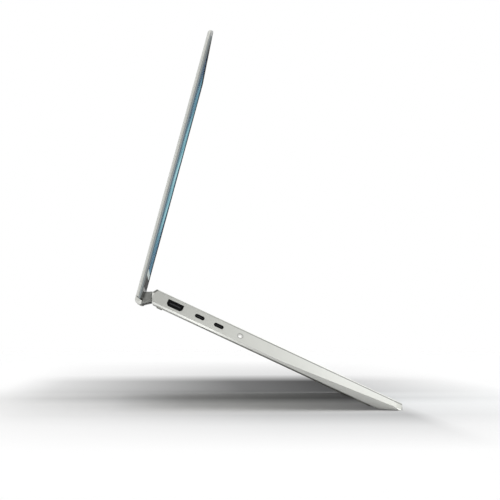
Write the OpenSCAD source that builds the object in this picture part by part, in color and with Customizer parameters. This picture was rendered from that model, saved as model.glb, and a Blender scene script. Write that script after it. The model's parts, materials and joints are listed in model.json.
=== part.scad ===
// Laptop computer with a lift hinge. The lid's lower lip swings under the rear of
// the base and raises it. Every height is first measured from the hinge axis, with
// the base level and the lid closed; stand() and opened() then set it on the desk.

/* [Overall] */
// Width of the base and of the lid
body_w = 356; // [346:1:366]
// Hinge axis to the front edge of the deck
base_len = 241; // [238:1:246]
// Height of the base from its underside to the deck
base_h = 12.9; // [12.7:0.1:13.5]
// Hinge axis below the deck
axis_drop = 7.6; // [7.5:0.1:7.8]
// Thickness of the metal walls of the base
wall = 1.5; // [1.4:0.05:1.6]
// Radius of the two front corners, seen from above
corner_r = 12; // [9:1:14]
// Radius of the two rear corners, seen from above
rear_r = 5; // [4:0.5:7]

/* [Base edges] */
// Deck's rear edge in front of the hinge axis
rear_set = 2.2; // [2.1:0.1:2.6]
// How far the front face leans forward at its foot
nose_lean = 2.4; // [1.8:0.1:3]
// Height of the front face
nose_h = 4.7; // [4.3:0.1:5.2]
// Length of the long chamfer under the front edge
toe_len = 20; // [17:1:22]
// Height of the small chamfer under the sides
side_h = 1.8; // [1.5:0.1:2.2]
// Width of the small chamfer under the sides
side_run = 3.2; // [2.6:0.1:4]
// Length over which the side wall grows lower towards the front
sweep_len = 118; // [100:2:130]
// Width of the side chamfer at the front corner
sweep_run = 13; // [11:0.5:15]
// Width of the bevel along the deck's two side edges
deck_bevel = 0.5; // [0.4:0.1:0.6]

/* [Lid] */
// Angle between deck and screen as the computer stands
lid_open = 99.9; // [96:0.1:110]
// Thickness of the lid
lid_t = 4.7; // [4.6:0.1:5.2]
// Gap between the deck and the closed lid
lid_gap = 0.6; // [0.55:0.05:0.85]
// Depth of the metal back shell's edge
shell_band = 2.3; // [2.1:0.1:2.5]
// Thickness of the back shell
shell_t = 1.2; // [1:0.05:1.3]
// Lid behind the hinge axis: the lip that lifts the base
lip_len = 9.6; // [9.4:0.1:10.6]
// Radius of the round edge of the lip
lip_r = 4.2; // [3.8:0.1:4.4]
// How far the rubber bumpers stand out of the lip
bumper_out = 0.35; // [0.3:0.05:0.5]
// Width of the frame's edge round the glass
rim_w = 2.2; // [1.9:0.1:2.5]
// Thickness of the cover glass
glass_t = 0.7; // [0.6:0.05:0.8]
// Thickness of the display panel
panel_t = 2; // [1.8:0.1:2.1]
// Border beside the picture
border_side = 6; // [5.5:0.1:8]
// Border above the picture
border_top = 8.6; // [8.2:0.1:9.4]
// Border below the picture, as far as the hinge axis
chin_h = 17.4; // [16:0.1:20]

/* [Hinges] */
// Radius of the hinge covers
knuckle_r = 4.2; // [4:0.1:4.4]
// Length of a hinge cover
knuckle_w = 60; // [54:1:64]
// Side of the computer to the outer end of a hinge cover
knuckle_inset = 12; // [10:0.5:14]
// Radius of the steel hinge pins
pin_r = 1.6; // [1.4:0.05:1.7]
// Running clearance round the pins
pin_fit = 0.05; // [0.03:0.01:0.08]
// Gap between the base and the turning hinge covers
turn_gap = 0.7; // [0.6:0.05:0.9]

/* [Keyboard] */
// Key spacing along a row
pitch_x = 19.05; // [18.6:0.05:19.3]
// Spacing of the rows
pitch_y = 18.5; // [18:0.1:18.8]
// Spacing of the low function row
fn_pitch = 12; // [11:0.5:13]
// Gap between neighbouring keys
key_gap = 2.9; // [2.7:0.1:3.1]
// Gap between a key and its hole
key_play = 0.4; // [0.3:0.05:0.5]
// Stroke of a key
key_travel = 1.3; // [1.1:0.1:1.4]
// Deck's rear edge to the keyboard well
kb_set = 16; // [15.5:0.1:17]

/* [Touchpad] */
// Width of the touchpad
pad_w = 150; // [140:1:156]
// Touchpad to the deck's front edge
pad_set = 11; // [10.5:0.1:12]
// Touchpad to the keyboard well
pad_rear = 10.9; // [10:0.1:14]
// Gap round the touchpad
pad_gap = 0.3; // [0.25:0.05:0.4]

/* [Ports] */
// Centre line of the ports below the deck
port_drop = 6.2; // [6:0.1:6.4]
// Deck's rear edge to the large video socket
video_at = 20.3; // [20:0.1:21]
// Deck's rear edge to the first small socket
usb_c_at = 44.1; // [43:0.1:45]
// Spacing of the two small sockets
usb_c_step = 18.3; // [17:0.1:19]
// Deck's rear edge to the indicator window
lamp_at = 83.1; // [81:0.1:86]
// Deck's rear edge to the full-size socket on the right
usb_a_at = 46; // [44:0.5:50]
// Deck's rear edge to the audio jack
jack_at = 70; // [67:0.5:74]
// Radius of the audio jack's bore
jack_r = 1.8; // [1.75:0.01:1.85]

/* [Inside] */
// Thickness of the main board
board_t = 1; // [0.8:0.1:1]
// Main board above the floor of the bottom cover
board_lift = 0.6; // [0.5:0.1:0.7]
// Radius of a fan's rotor
fan_r = 28; // [26:0.5:29]
// Height of a fan
fan_h = 5.6; // [5.2:0.1:6]
// Blades of a fan
fan_blades = 29; // [23:2:33]
// Height of the battery cells
cell_h = 6.4; // [6:0.1:6.8]
// Height of the rubber feet
foot_h = 1; // [0.9:0.1:1.2]

/* [Hidden] */
$fn = 48;
big = 600;
eps = 0.01;
seat = 0.2;

// heights and places, from the hinge axis
deck_z = axis_drop;
floor_z = axis_drop - base_h;
in_floor = floor_z + wall;
in_roof = deck_z - wall;
half_w = body_w / 2;
deck_rear = -rear_set;
deck_front = -base_len;
rear_tip = [0.7, deck_z - 4.2];
rear_foot = [-3.6, floor_z];
nose_z = deck_z - nose_h;
nose_y = deck_front - nose_lean;
edge_z = floor_z + side_h;
// the seam between the two halves of the base runs just under the corner of the side
seam_drop = 0.2;
sweep_y = nose_y + sweep_len;

// the lid, closed
lid_in = deck_z + lid_gap;
lid_out = lid_in + lid_t;
band_z = lid_out - shell_band;
lip_c = [lip_len - lip_r - 0.05, lid_out - lip_r];
seam_out = [2.9, lid_out];
seam_in = [5.1, lid_in];
glass_z = lid_in + 0.2;
panel_z = glass_z + glass_t;
glass_y = [-base_len + rim_w, -6];
picture_w = body_w - 2 * border_side;
picture_y = [-base_len + border_top, -chin_h];
panel_edge = 1.3;

// hinges
knuckle_out = half_w - knuckle_inset;
knuckle_in = knuckle_out - knuckle_w;
notch_y = -knuckle_r - turn_gap;
ear_t = 2.4;
ear_x = knuckle_in - 0.6 - ear_t;
barrel_r = 3;
barrel_len = 38;
notch_in = ear_x - 0.7;
notch_out = knuckle_out + turn_gap;
grille_half = notch_in - 0.8;
leaf_t = 1.2;

// keyboard
kb_top = deck_rear - kb_set;
kb_margin = 2.2;
kb_w = 15 * pitch_x;
kb_d = fn_pitch + 5 * pitch_y;
well = [kb_w + 2 * kb_margin, kb_d + 2 * kb_margin];
well_y = kb_top - kb_d - 2 * kb_margin;
key_top = deck_z + 0.1;
key_h = 1.8;
key_hollow = 0.9;
ring_w = 2.5;
sheet_top = key_top - key_h - key_travel - 0.3;
sheet_t = 0.3;
plate_t = 0.5;
frame_top = deck_z - 0.3;
frame_t = 1.7;

// touchpad
pad_front = deck_front + pad_set;
pad_d = well_y - pad_rear - pad_front;
pad_top = deck_z - 0.1;
pad_t = 2.2;
tray_t = 0.5;
tray_top = pad_top - pad_t - 0.6;
tray_rim = 3;

// ports and inside
port_z = deck_z - port_drop;
board_z = in_floor + board_lift;
board_top = board_z + board_t;
board_w = body_w - 2 * wall - 3;
board_y = [-122, -14];
fin_half = 30;
fan_at = [ear_x - fin_half - 3, -58];
fan_box = 2 * fan_r + 12;
fan_z = in_floor + seat;
fin_y = [-21, -12];
fin_top = 0;
pipe_y = -17;
pipe_w = 7;
pipe_h = 2;
battery_y = [nose_y + 31.9, well_y - 13.9];
battery_w = body_w - 120;
speaker_size = [30, 52];
speaker_at = [half_w - 29, nose_y + 67.4];
chip_at = [0, -52];
chip_size = [30, 24];
die_size = [20, 11];
spreader_size = [36, 34];
memory_size = [12, 9];
drive_size = [80, 22];
wireless_size = [30, 22];
card_y = board_y[0] + 3;
card_t = 0.8;
// one side's screws: beside the keyboard, behind the battery, at the front
beside_keys = well[0] / 2 + ring_w + 5.5;
side_screws = [
    [beside_keys, -36], [beside_keys, -112], [100, well_y - 6.9],
    [half_w - 26, nose_y + 29.4], [pad_w / 2 + tray_rim + 14, nose_y + 25.4]
];
cover_screws_at = concat([[0, -10]], side_screws, [for (p = side_screws) [-p[0], p[1]]]);
foot_len = 64;
foot_w = 6;
rear_foot_at = [half_w - 52, -11];
screw_r = 1;
boss_r = 2.4;

// how it stands: the desk touches the front feet and the round lip
foot_y = nose_y + toe_len + 6;
foot_z = floor_z - foot_h;
lip_at = turned(lip_c, -lid_open);
sole_r = lip_r + bumper_out;
foot_to_lip = lip_at - [foot_y, foot_z];
rest_tilt = asin(sole_r / norm(foot_to_lip)) - atan2(foot_to_lip[1], foot_to_lip[0]);
desk_z = turned([foot_y, foot_z], rest_tilt)[1];
lid_top_r = 2.2;
tip_c = [-base_len + lid_top_r, lid_out - lid_top_r];
back_y = turned(tip_c, rest_tilt - lid_open)[0] + lid_top_r;
front_y = turned([nose_y, nose_z], rest_tilt)[0];
middle_y = (back_y + front_y) / 2;

// ---------------------------------------------------------------- helpers

// A point of a side view, turned about the hinge axis
function turned(p, a) = [p[0] * cos(a) - p[1] * sin(a), p[0] * sin(a) + p[1] * cos(a)];

function unit(v) = v / norm(v);

function left_of(v) = [-v[1], v[0]];

// The same outline with every edge moved inwards by d (points counter-clockwise)
function inset(pts, d) = [
    for (i = [0:len(pts) - 1])
        let (n = len(pts), p = pts[i])
        let (a = left_of(unit(p - pts[(i + n - 1) % n])), b = left_of(unit(pts[(i + 1) % n] - p)))
        p + (a + b) * d / (1 + a * b)
];

// An outline in the side view, (y, z), as a bar from x0 to x1
module bar(x0, x1) translate([x0, 0, 0]) rotate([90, 0, 90]) linear_extrude(x1 - x0) children();

module box(low, high) translate(low) cube(high - low);

// A flat plate with round corners: radius ra at its front, rb at its rear
module plate(low, high, ra, rb) {
    w = high[0] - low[0];
    d = high[1] - low[1];
    translate(low) linear_extrude(high[2] - low[2]) {
        translate([ra, 0]) square([w - 2 * ra, d / 2]);
        translate([0, ra]) square([w, d - ra - rb]);
        translate([rb, d / 2]) square([w - 2 * rb, d / 2]);
        for (x = [ra, w - ra]) translate([x, ra]) circle(ra);
        for (x = [rb, w - rb]) translate([x, d - rb]) circle(rb);
    }
}

// What follows leans back by k as it rises, and keeps its place at height z
module lean(k, z) multmatrix([[1, 0, 0, 0], [0, 1, k, -k * z], [0, 0, 1, 0], [0, 0, 0, 1]]) children();

// A plate centred on a point
module pad(c, size, z0, z1, r)
    plate([c[0] - size[0] / 2, c[1] - size[1] / 2, z0], [c[0] + size[0] / 2, c[1] + size[1] / 2, z1], r, r);

// All that lies beyond a plane through p whose outward normal is n
module beyond(p, n)
    translate(p) rotate([0, acos(n[2] / norm(n)), atan2(n[1], n[0])])
        translate([-big, -big, 0]) cube([2 * big, 2 * big, big]);

module both_sides() {
    children();
    mirror([1, 0, 0]) children();
}

// From the level base to the desk, and from the closed lid to the open one
module stand() translate([0, -middle_y, -desk_z]) rotate([rest_tilt, 0, 0]) children();

module opened() stand() rotate([-lid_open, 0, 0]) children();

// ---------------------------------------------------------------- shape of the base

side_view = [
    [deck_rear, deck_z], [deck_front, deck_z], [nose_y, nose_z],
    [nose_y + toe_len, floor_z], rear_foot, rear_tip
];

// The base as one block, with every wall moved inwards by d
module base_block(d) {
    n_side = [side_h, 0, -side_run];
    a = [half_w, sweep_y, edge_z];
    b = [half_w, nose_y, nose_z];
    c = [half_w - sweep_run, nose_y + toe_len, floor_z];
    n_sweep = cross(b - a, c - a);
    n_bevel = [1, 0, 1];
    difference() {
        intersection() {
            // the front and its corners lean, the rear stands upright
            lean(nose_lean / nose_h, nose_z)
                plate([-half_w + d, nose_y - 0.05 + d, -20], [half_w - d, 60, 20], corner_r - d, 1);
            plate([-half_w + d, nose_y - 40, -20], [half_w - d, rear_tip[0] + 2, 20], 1, rear_r - d);
            bar(-half_w, half_w) polygon(inset(side_view, d));
        }
        both_sides() {
            beyond([half_w, 0, edge_z] - d * unit(n_side), n_side);
            beyond(a - d * unit(n_sweep), n_sweep);
            beyond([half_w, 0, deck_z - deck_bevel] - d * unit(n_bevel), n_bevel);
        }
    }
}

// Side view of what lies under the seam between the two halves of the base
module under_seam() {
    slope = (nose_z - edge_z) / (sweep_y - nose_y);
    run = 30;
    seam_z = edge_z - seam_drop;
    bar(-big, big) polygon([
        [40, -40], [40, seam_z], [sweep_y, seam_z],
        [nose_y - run, nose_z - seam_drop + run * slope], [nose_y - run, -40]
    ]);
}

// Space behind the deck in which a hinge cover turns
module notches(grow)
    both_sides() box([notch_in - grow, notch_y - grow, -40], [notch_out + grow, 40, 40]);

module screw_posts(r, z0, z1)
    for (p = cover_screws_at) translate([p[0], p[1], z0]) cylinder(r = r, h = z1 - z0);

// Side view of a large socket's opening: a rectangle with two cut lower corners
module video_outline(w, h, cut)
    polygon([
        [-w / 2, h / 2], [-w / 2, -h / 2 + cut], [-w / 2 + cut, -h / 2],
        [w / 2 - cut, -h / 2], [w / 2, -h / 2 + cut], [w / 2, h / 2]
    ]);

module pill(w, h) {
    square([w - h, h], center = true);
    for (s = [-1, 1]) translate([s * (w - h) / 2, 0]) circle(h / 2);
}

// Puts an outline on the left or right wall, as a bar that runs from x0 to x1
module on_wall(at, x0, x1) bar(x0, x1) translate([deck_rear - at, port_z]) children();

video_size = [15, 6];
usb_c_size = [9.1, 3.4];
usb_a_size = [13.4, 5.4];
lamp_size = [4.8, 3.4];

module port_cuts() {
    cut = 2 * wall + 1;
    on_wall(video_at, -half_w - 1, -half_w + cut) video_outline(video_size[0], video_size[1], 1.8);
    for (k = [0, 1])
        on_wall(usb_c_at + k * usb_c_step, -half_w - 1, -half_w + cut) pill(usb_c_size[0], usb_c_size[1]);
    on_wall(lamp_at, -half_w - 1, -half_w + cut) pill(lamp_size[0], lamp_size[1]);
    on_wall(usb_a_at, half_w - cut, half_w + 1) square(usb_a_size, center = true);
    on_wall(jack_at, half_w - cut, half_w + 1) circle(2.5);
}

// ---------------------------------------------------------------- base shells

module top_case() color("#cfcdc6") stand() {
    difference() {
        base_block(0);
        under_seam();
        difference() {
            base_block(wall);
            notches(wall);
        }
        notches(0);
        port_cuts();
        // keyboard well, touchpad opening
        box([-well[0] / 2, well_y, in_roof - 1], [well[0] / 2, well_y + well[1], deck_z + 1]);
        pad([0, pad_front + pad_d / 2], [pad_w + 2 * pad_gap, pad_d + 2 * pad_gap],
            in_roof - 1, deck_z + 1, 3);
        both_sides() {
            // warm air leaves the fin stacks here
            box([fan_at[0] - fin_half - 1, -9, in_floor + 1], [fan_at[0] + fin_half + 1, 5, fin_top + 1.6]);
            // the hinge bracket's ear comes through here
            box([ear_x - 0.4, notch_y - wall - 1, 0.2], [ear_x + ear_t + 0.4, notch_y + 1, in_roof]);
        }
    }
    // posts for the cover screws
    difference() {
        screw_posts(boss_r, in_floor, in_roof + eps);
        screw_posts(screw_r, in_floor - 1, in_floor + 4);
    }
}

// A round-ended slot through the bottom, turned by a from the X direction
module floor_slot(c, len, w, a)
    translate([c[0], c[1], floor_z - 1]) rotate([0, 0, a]) linear_extrude(wall + 2) pill(len, w);

module intake_slots(x, y) {
    slot_w = 2;
    step = 4.4;
    for (i = [-6:6]) {
        half = sqrt(pow(fan_r, 2) - pow(i * step, 2));
        floor_slot([x + i * step, y], 2 * half - 2, slot_w, 90);
    }
}

module bottom_cover() color("#c9c7c0") stand() difference() {
    union() {
        difference() {
            intersection() {
                base_block(0);
                under_seam();
            }
            difference() {
                base_block(wall);
                notches(wall);
            }
        }
        // pads that carry the main board
        for (x = [50 - half_w, -12, 12, half_w - 50], y = [-30, -106])
            translate([x, y, in_floor - eps]) cylinder(r = 3, h = board_lift + eps);
    }
    notches(0);
    both_sides() {
        intake_slots(fan_at[0], fan_at[1]);
        // loudspeaker slots
        for (i = [0:7])
            floor_slot([speaker_at[0], speaker_at[1] + 17.5 - 5 * i], 16, 1.8, 0);
    }
    screw_posts(screw_r + 0.3, floor_z - 1, in_floor + 1);
    for (p = cover_screws_at)
        translate([p[0], p[1], floor_z - eps]) cylinder(r1 = 2.5, r2 = screw_r + 0.3, h = 0.9);
}

module exhaust_grille() color("#3b3b3c") stand() difference() {
    bar(-grille_half, grille_half) polygon([
        [deck_rear + 0.6, deck_z - 0.1], [-4.2, deck_z - 0.1], [-4.2, deck_z - 1],
        [rear_tip[0] + 0.3, rear_tip[1]], [-3.2, floor_z + 1.2], [2.3, -3.4], [3.3, 2.6]
    ]);
    base_block(-0.05);
    slots = 22;
    for (s = [-1, 1], i = [0:slots - 1])
        translate([s * (fan_at[0] - fin_half + i * 2 * fin_half / (slots - 1)), 0, 0])
            box([-0.9, -8, in_floor + 1], [0.9, 8, fin_top + 1.6]);
}

// ---------------------------------------------------------------- feet and screws

module foot_strip(x, y, len, w) difference() {
    translate([x, y, foot_z - 1.5]) linear_extrude(floor_z - foot_z + 1.5) pill(len, w);
    // the sole is flat on the desk
    translate([0, foot_y, foot_z]) rotate([-rest_tilt, 0, 0]) translate([-big, -big, -big])
        cube([2 * big, 2 * big, big]);
}

module front_feet() color("#b4b3ad") stand() both_sides()
    foot_strip(half_w - 44 - foot_len / 2, foot_y, foot_len, foot_w);

module rear_feet() color("#b4b3ad") stand() both_sides()
    pad(rear_foot_at, [56, foot_w], floor_z - foot_h, floor_z, 2.9);

module cover_screws() color("#9a9a9a") stand() for (p = cover_screws_at) translate([p[0], p[1], floor_z]) {
    difference() {
        translate([0, 0, 0.1]) cylinder(r1 = 2.2, r2 = screw_r + 0.15, h = 0.85);
        cylinder(r = 0.9, h = 0.5, $fn = 6);
    }
    cylinder_top = wall + 3.4;
    translate([0, 0, 0.6]) cylinder(r = screw_r - 0.05, h = cylinder_top);
}

// ---------------------------------------------------------------- keyboard

ones = [for (i = [1:12]) 1];

function take(v, n) = [for (i = [0:n - 1]) v[i]];

function sum_to(v, n) = n == 0 ? 0 : v[n - 1] + sum_to(v, n - 1);

function row_y(row) = row == 0 ? kb_top - kb_margin - fn_pitch / 2
    : kb_top - kb_margin - fn_pitch - (row - 0.5) * pitch_y;

// One row of keys as [group, centre x, centre y, width, depth], from column s on
function row_keys(group, row, widths, s) = [
    for (i = [0:len(widths) - 1])
        [
            group,
            (s + sum_to(widths, i) + widths[i] / 2) * pitch_x - kb_w / 2,
            row_y(row),
            widths[i] * pitch_x - key_gap,
            (row == 0 ? fn_pitch : pitch_y) - key_gap
        ]
];

// Arrow keys are half as deep: three below, one above the middle one
arrow_d = (pitch_y - key_gap) / 2 - key_play - 0.3;

function arrow_key(col, up) = [
    "arrow", (col + 0.5) * pitch_x - kb_w / 2,
    row_y(5) + (up ? 1 : -1) * (pitch_y - key_gap - arrow_d) / 2,
    pitch_x - key_gap, arrow_d
];

keys = concat(
    row_keys("function", 0, concat(ones, [1, 1]), 0),
    row_keys("power", 0, [1], 14),
    row_keys("number", 1, concat(ones, [1, 2]), 0),
    row_keys("upper", 2, concat([1.5], ones, [1.5]), 0),
    row_keys("home", 3, concat([1.75], take(ones, 11), [2.25]), 0),
    row_keys("lower", 4, concat([2.25], take(ones, 10), [2.75]), 0),
    row_keys("modifier", 5, [1.25, 1, 1, 1.25], 0),
    row_keys("space", 5, [5.5], 4.5),
    row_keys("modifier", 5, [1, 1], 10),
    [arrow_key(12, false), arrow_key(13, false), arrow_key(13, true), arrow_key(14, false)]
);

module key_caps(group) stand() for (k = keys) if (k[0] == group) difference() {
    pad([k[1], k[2]], [k[3], k[4]], key_top - key_h, key_top, 1.3);
    pad([k[1], k[2]], [k[3] - 1.8, k[4] - 1.8], key_top - key_h - 1, key_top - key_h + key_hollow, 0.6);
}

module keyboard_frame() color("#c6c4bd") stand() {
    difference() {
        union() {
            box([-well[0] / 2 + 0.05, well_y + 0.05, frame_top - frame_t],
                [well[0] / 2 - 0.05, well_y + well[1] - 0.05, frame_top]);
            box([-well[0] / 2 - ring_w, well_y - ring_w, sheet_top - sheet_t],
                [well[0] / 2 + ring_w, well_y + well[1] + ring_w, in_roof]);
        }
        box([-well[0] / 2 + 1, well_y + 1, sheet_top - 5],
            [well[0] / 2 - 1, well_y + well[1] - 1, frame_top - frame_t + eps]);
        for (k = keys)
            box([k[1] - k[3] / 2 - key_play, k[2] - k[4] / 2 - key_play, in_floor],
                [k[1] + k[3] / 2 + key_play, k[2] + k[4] / 2 + key_play, deck_z + 1]);
    }
}

module keyboard_sheet() color("#55565a") stand() {
    box([-well[0] / 2 + 1.2, well_y + 1.2, sheet_top - sheet_t],
        [well[0] / 2 - 1.2, well_y + well[1] - 1.2, sheet_top]);
    for (k = keys) translate([k[1], k[2], sheet_top - eps])
        cylinder(r1 = min(2.6, k[4] / 2 - 1.2), r2 = min(1.6, k[4] / 2 - 1.6), h = key_hollow + 0.1);
}

module keyboard_plate() color("#9fa1a4") stand()
    box([-well[0] / 2 - ring_w, well_y - ring_w, sheet_top - sheet_t - plate_t],
        [well[0] / 2 + ring_w, well_y + well[1] + ring_w, sheet_top - sheet_t]);

module keys_function() color("#d6d4ce") key_caps("function");

module keys_number() color("#d6d4ce") key_caps("number");

module keys_upper() color("#d6d4ce") key_caps("upper");

module keys_home() color("#d6d4ce") key_caps("home");

module keys_lower() color("#d6d4ce") key_caps("lower");

module keys_modifier() color("#d6d4ce") key_caps("modifier");

module space_bar() color("#d6d4ce") key_caps("space");

module keys_arrow() color("#d6d4ce") key_caps("arrow");

module power_key() color("#b8b6b0") key_caps("power");

// ---------------------------------------------------------------- touchpad

module touchpad() color("#d2d0ca") stand()
    pad([0, pad_front + pad_d / 2], [pad_w, pad_d], pad_top - pad_t, pad_top, 3 - pad_gap);

module touchpad_tray() color("#8e9093") stand() difference() {
    pad([0, pad_front + pad_d / 2], [pad_w + 2 * tray_rim, pad_d + 2 * tray_rim],
        tray_top - tray_t, in_roof, 3);
    pad([0, pad_front + pad_d / 2], [pad_w + 2 * pad_gap, pad_d + 2 * pad_gap], tray_top, in_roof + 1, 3);
}

// ---------------------------------------------------------------- hinges

module hinge_bracket() color("#77797d") stand() difference() {
    union() {
        // leaf under the deck
        box([ear_x, kb_top + ring_w + 0.5, in_roof - leaf_t], [ear_x + 46, notch_y - wall - 0.3, in_roof]);
        // ear out to the axis
        bar(ear_x, ear_x + ear_t) {
            circle(barrel_r);
            polygon([[-9, in_roof], [-9, in_roof - 2.6], [0, -barrel_r], [0, barrel_r], [-3, in_roof]]);
        }
        bar(ear_x + ear_t - eps, knuckle_in + barrel_len + 1) circle(pin_r);
    }
    for (x = [20, 40]) translate([ear_x + x, -11, in_roof - leaf_t - 1]) cylinder(r = 1.2, h = 4);
}

module hinge_bracket_left() mirror([1, 0, 0]) hinge_bracket();

module hinge_bracket_right() hinge_bracket();

// Side view of a hinge cover, closed: a round barrel that blends into the lip
module cover_outline(r) {
    end = [lip_len - 0.6, lid_in];
    reach = norm(end);
    swing = acos(r / reach);
    dir = atan2(end[1], end[0]);
    circle(r);
    polygon([
        [0, 0], r * [cos(dir - swing), sin(dir - swing)], end, [-2, lid_in],
        r * [cos(150), sin(150)]
    ]);
}

module hinge_cover() color("#8b8a86") opened() difference() {
    bar(knuckle_in, knuckle_out) cover_outline(knuckle_r);
    bar(knuckle_in - 1, knuckle_out - 1.2) circle(barrel_r + 0.3);
    // the arm rises through here
    box([knuckle_in - 1, -1.7, 0], [knuckle_in + barrel_len + 1.4, 2.7, lid_in + 1]);
}

module hinge_cover_left() mirror([1, 0, 0]) hinge_cover();

module hinge_cover_right() hinge_cover();

module hinge_arm() color("#6f7175") opened() difference() {
    union() {
        bar(knuckle_in + 0.4, knuckle_in + barrel_len) {
            circle(barrel_r);
            translate([-1.4, 0]) square([3.8, lid_in + 1.5]);
        }
        // leaf inside the lid
        box([knuckle_in + 0.4, -12, lid_in + 1.2], [knuckle_in + barrel_len, 2.4, lid_in + 2.4]);
    }
    bar(knuckle_in - 1, knuckle_in + barrel_len + 2) circle(pin_r + pin_fit);
    for (x = [10, 28]) translate([knuckle_in + x, -8, lid_in]) cylinder(r = 1.1, h = 5);
}

module hinge_arm_left() mirror([1, 0, 0]) hinge_arm();

module hinge_arm_right() hinge_arm();

// ---------------------------------------------------------------- lid

// Side view of the lid in front of its lip, between two depths
module lid_section(z0, z1) {
    lean = (seam_out[0] - seam_in[0]) / lid_t;
    polygon([
        [-base_len, z0], [seam_in[0] + lean * (z0 - lid_in), z0],
        [seam_in[0] + lean * (z1 - lid_in), z1], [-base_len, z1]
    ]);
}

module lid_block(z0, z1, d) intersection() {
    plate([-half_w + d, -base_len + d, z0], [half_w - d, 30, z1], corner_r - d, 1);
    bar(-half_w, half_w) lid_section(z0, z1);
}

module lid_shell() color("#d3d1ca") opened() difference() {
    intersection() {
        // a round outer edge on the two sides and the top
        hull() for (x = [-1, 1], y = [-base_len + corner_r, 40])
            translate([x * (half_w - corner_r), y, 0]) rotate_extrude($fn = 48) {
                square_h = shell_band - lid_top_r * 0.7;
                translate([0, band_z]) square([corner_r, square_h]);
                translate([0, band_z]) square([corner_r - lid_top_r, shell_band]);
                intersection() {
                    translate([corner_r - lid_top_r, lid_out - lid_top_r]) circle(lid_top_r, $fn = 24);
                    translate([0, band_z]) square([corner_r, shell_band]);
                }
            }
        bar(-half_w, half_w) lid_section(band_z, lid_out);
    }
    plate([-half_w + rim_w, -base_len + rim_w, band_z - 1], [half_w - rim_w, -rim_w, lid_out - shell_t],
        corner_r - rim_w, 1);
}

module lid_frame() color("#9b9a95") opened() difference() {
    lid_block(lid_in, band_z, 0);
    // the glass lies in a step, the panel in a window
    plate([-half_w + rim_w, glass_y[0], lid_in - 1], [half_w - rim_w, glass_y[1], panel_z],
        corner_r - rim_w, 1);
    box([-picture_w / 2 - panel_edge - 0.3, picture_y[0] - panel_edge - 4.4, lid_in - 1],
        [picture_w / 2 + panel_edge + 0.3, picture_y[1] + panel_edge + 0.3, band_z + 1]);
    // the cable leaves the panel here
    box([-31, picture_y[1], panel_z], [31, 2.5, panel_z + 1]);
    // hinge arms pass behind the chin
    both_sides() {
        box([knuckle_in, -13, lid_in + 1.1], [knuckle_in + barrel_len + 0.4, 2.7, band_z + 1]);
        box([knuckle_in, -1.7, lid_in - 1], [knuckle_in + barrel_len + 0.4, 2.7, band_z + 1]);
    }
}

module lid_lip() color("#d8d6cf") opened() intersection() {
    plate([-half_w, -30, lid_in], [half_w, lip_len, lid_out], 1, 3);
    bar(-half_w, half_w) intersection() {
        union() {
            translate(lip_c) circle(lip_r);
            translate([0, lid_in]) square([lip_c[0] + lip_r - 0.5, lip_c[1] - lid_in]);
            translate([0, lid_in]) square([lip_c[0], lid_t]);
        }
        // behind the slanted seam with the shell and the frame
        polygon([seam_out + [0.05, 0], seam_in + [0.05, 0], [lip_len, lid_in], [lip_len, lid_out]]);
    }
}

module lip_bumpers() color("#77756f") opened() both_sides() bar(24, 96) {
    sole = -90 + lid_open - rest_tilt;
    difference() {
        intersection() {
            translate(lip_c) circle(sole_r);
            translate(lip_c) polygon([[0, 0], 9 * [cos(sole - 24), sin(sole - 24)], 9 * [cos(sole + 24), sin(sole + 24)]]);
        }
        translate(lip_c) circle(lip_r);
    }
}

module screen_glass() color("#15171a") opened()
    plate([-half_w + rim_w + 0.1, glass_y[0] + 0.1, glass_z], [half_w - rim_w - 0.1, glass_y[1] - 0.1, panel_z],
        corner_r - rim_w - 0.1, 0.9);

module display_panel() color("#2c6f9e") opened()
    box([-picture_w / 2 - panel_edge, picture_y[0] - panel_edge, panel_z],
        [picture_w / 2 + panel_edge, picture_y[1] + panel_edge, panel_z + panel_t]);

module camera_module() color("#22252a") opened() {
    cam_y = picture_y[0] - panel_edge - 2.1;
    box([-32, cam_y - 1.6, panel_z], [32, cam_y + 1.6, panel_z + 0.8]);
    translate([0, cam_y, panel_z]) cylinder(r = 1.5, h = 2);
}

module lid_cable() color("#2b2b2d") opened()
    box([-30, picture_y[1] + panel_edge, panel_z + 0.3], [30, 1.5, panel_z + 0.6]);

// ---------------------------------------------------------------- main board and cooling

module clear_posts() for (p = cover_screws_at)
    translate([p[0], p[1], in_floor]) cylinder(r = boss_r + 0.5, h = base_h);

module main_board() color("#1f5a3c") stand() difference() {
    box([-board_w / 2, board_y[0], board_z], [board_w / 2, board_y[1], board_top]);
    both_sides() {
        box([fan_at[0] - fan_box / 2 - 1, fan_at[1] - fan_box / 2 - 1, board_z - 1],
            [fan_at[0] + fan_box / 2 + 1, 0, board_top + 1]);
    }
    clear_posts();
}

module processor() color("#4a4d50") stand() {
    pad(chip_at, chip_size, board_top, board_top + 0.8, 0.5);
    pad(chip_at, die_size, board_top + 0.8 - eps, board_top + 1.1, 0.2);
}

module heat_spreader() color("#b5713f") stand() difference() {
    pad(chip_at, spreader_size, board_top + 1.1, board_top + 2, 2);
    for (x = [-1, 1], y = [-1, 1])
        translate(concat(chip_at, board_top) + [x * (spreader_size[0] / 2 - 2), y * (spreader_size[1] / 2 - 3), 0])
            cylinder(r = 1, h = 4);
}

// Flat copper pipes: forward over the processor, round a bend, out over the fins
module heat_pipe() {
    z = board_top + 2;
    bend = 7;
    box([5, chip_at[1] - 14, z], [5 + pipe_w, pipe_y - bend, z + pipe_h]);
    translate([5 + pipe_w + bend - pipe_w / 2, pipe_y - bend, z]) rotate([0, 0, 90])
        rotate_extrude(angle = 90) translate([bend - pipe_w / 2, 0]) square([pipe_w, pipe_h]);
    box([5 + pipe_w / 2 + bend, pipe_y - pipe_w / 2, z], [fan_at[0] + fin_half, pipe_y + pipe_w / 2, z + pipe_h]);
}

module heat_pipes() color("#c07a45") stand() both_sides() heat_pipe();

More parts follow.
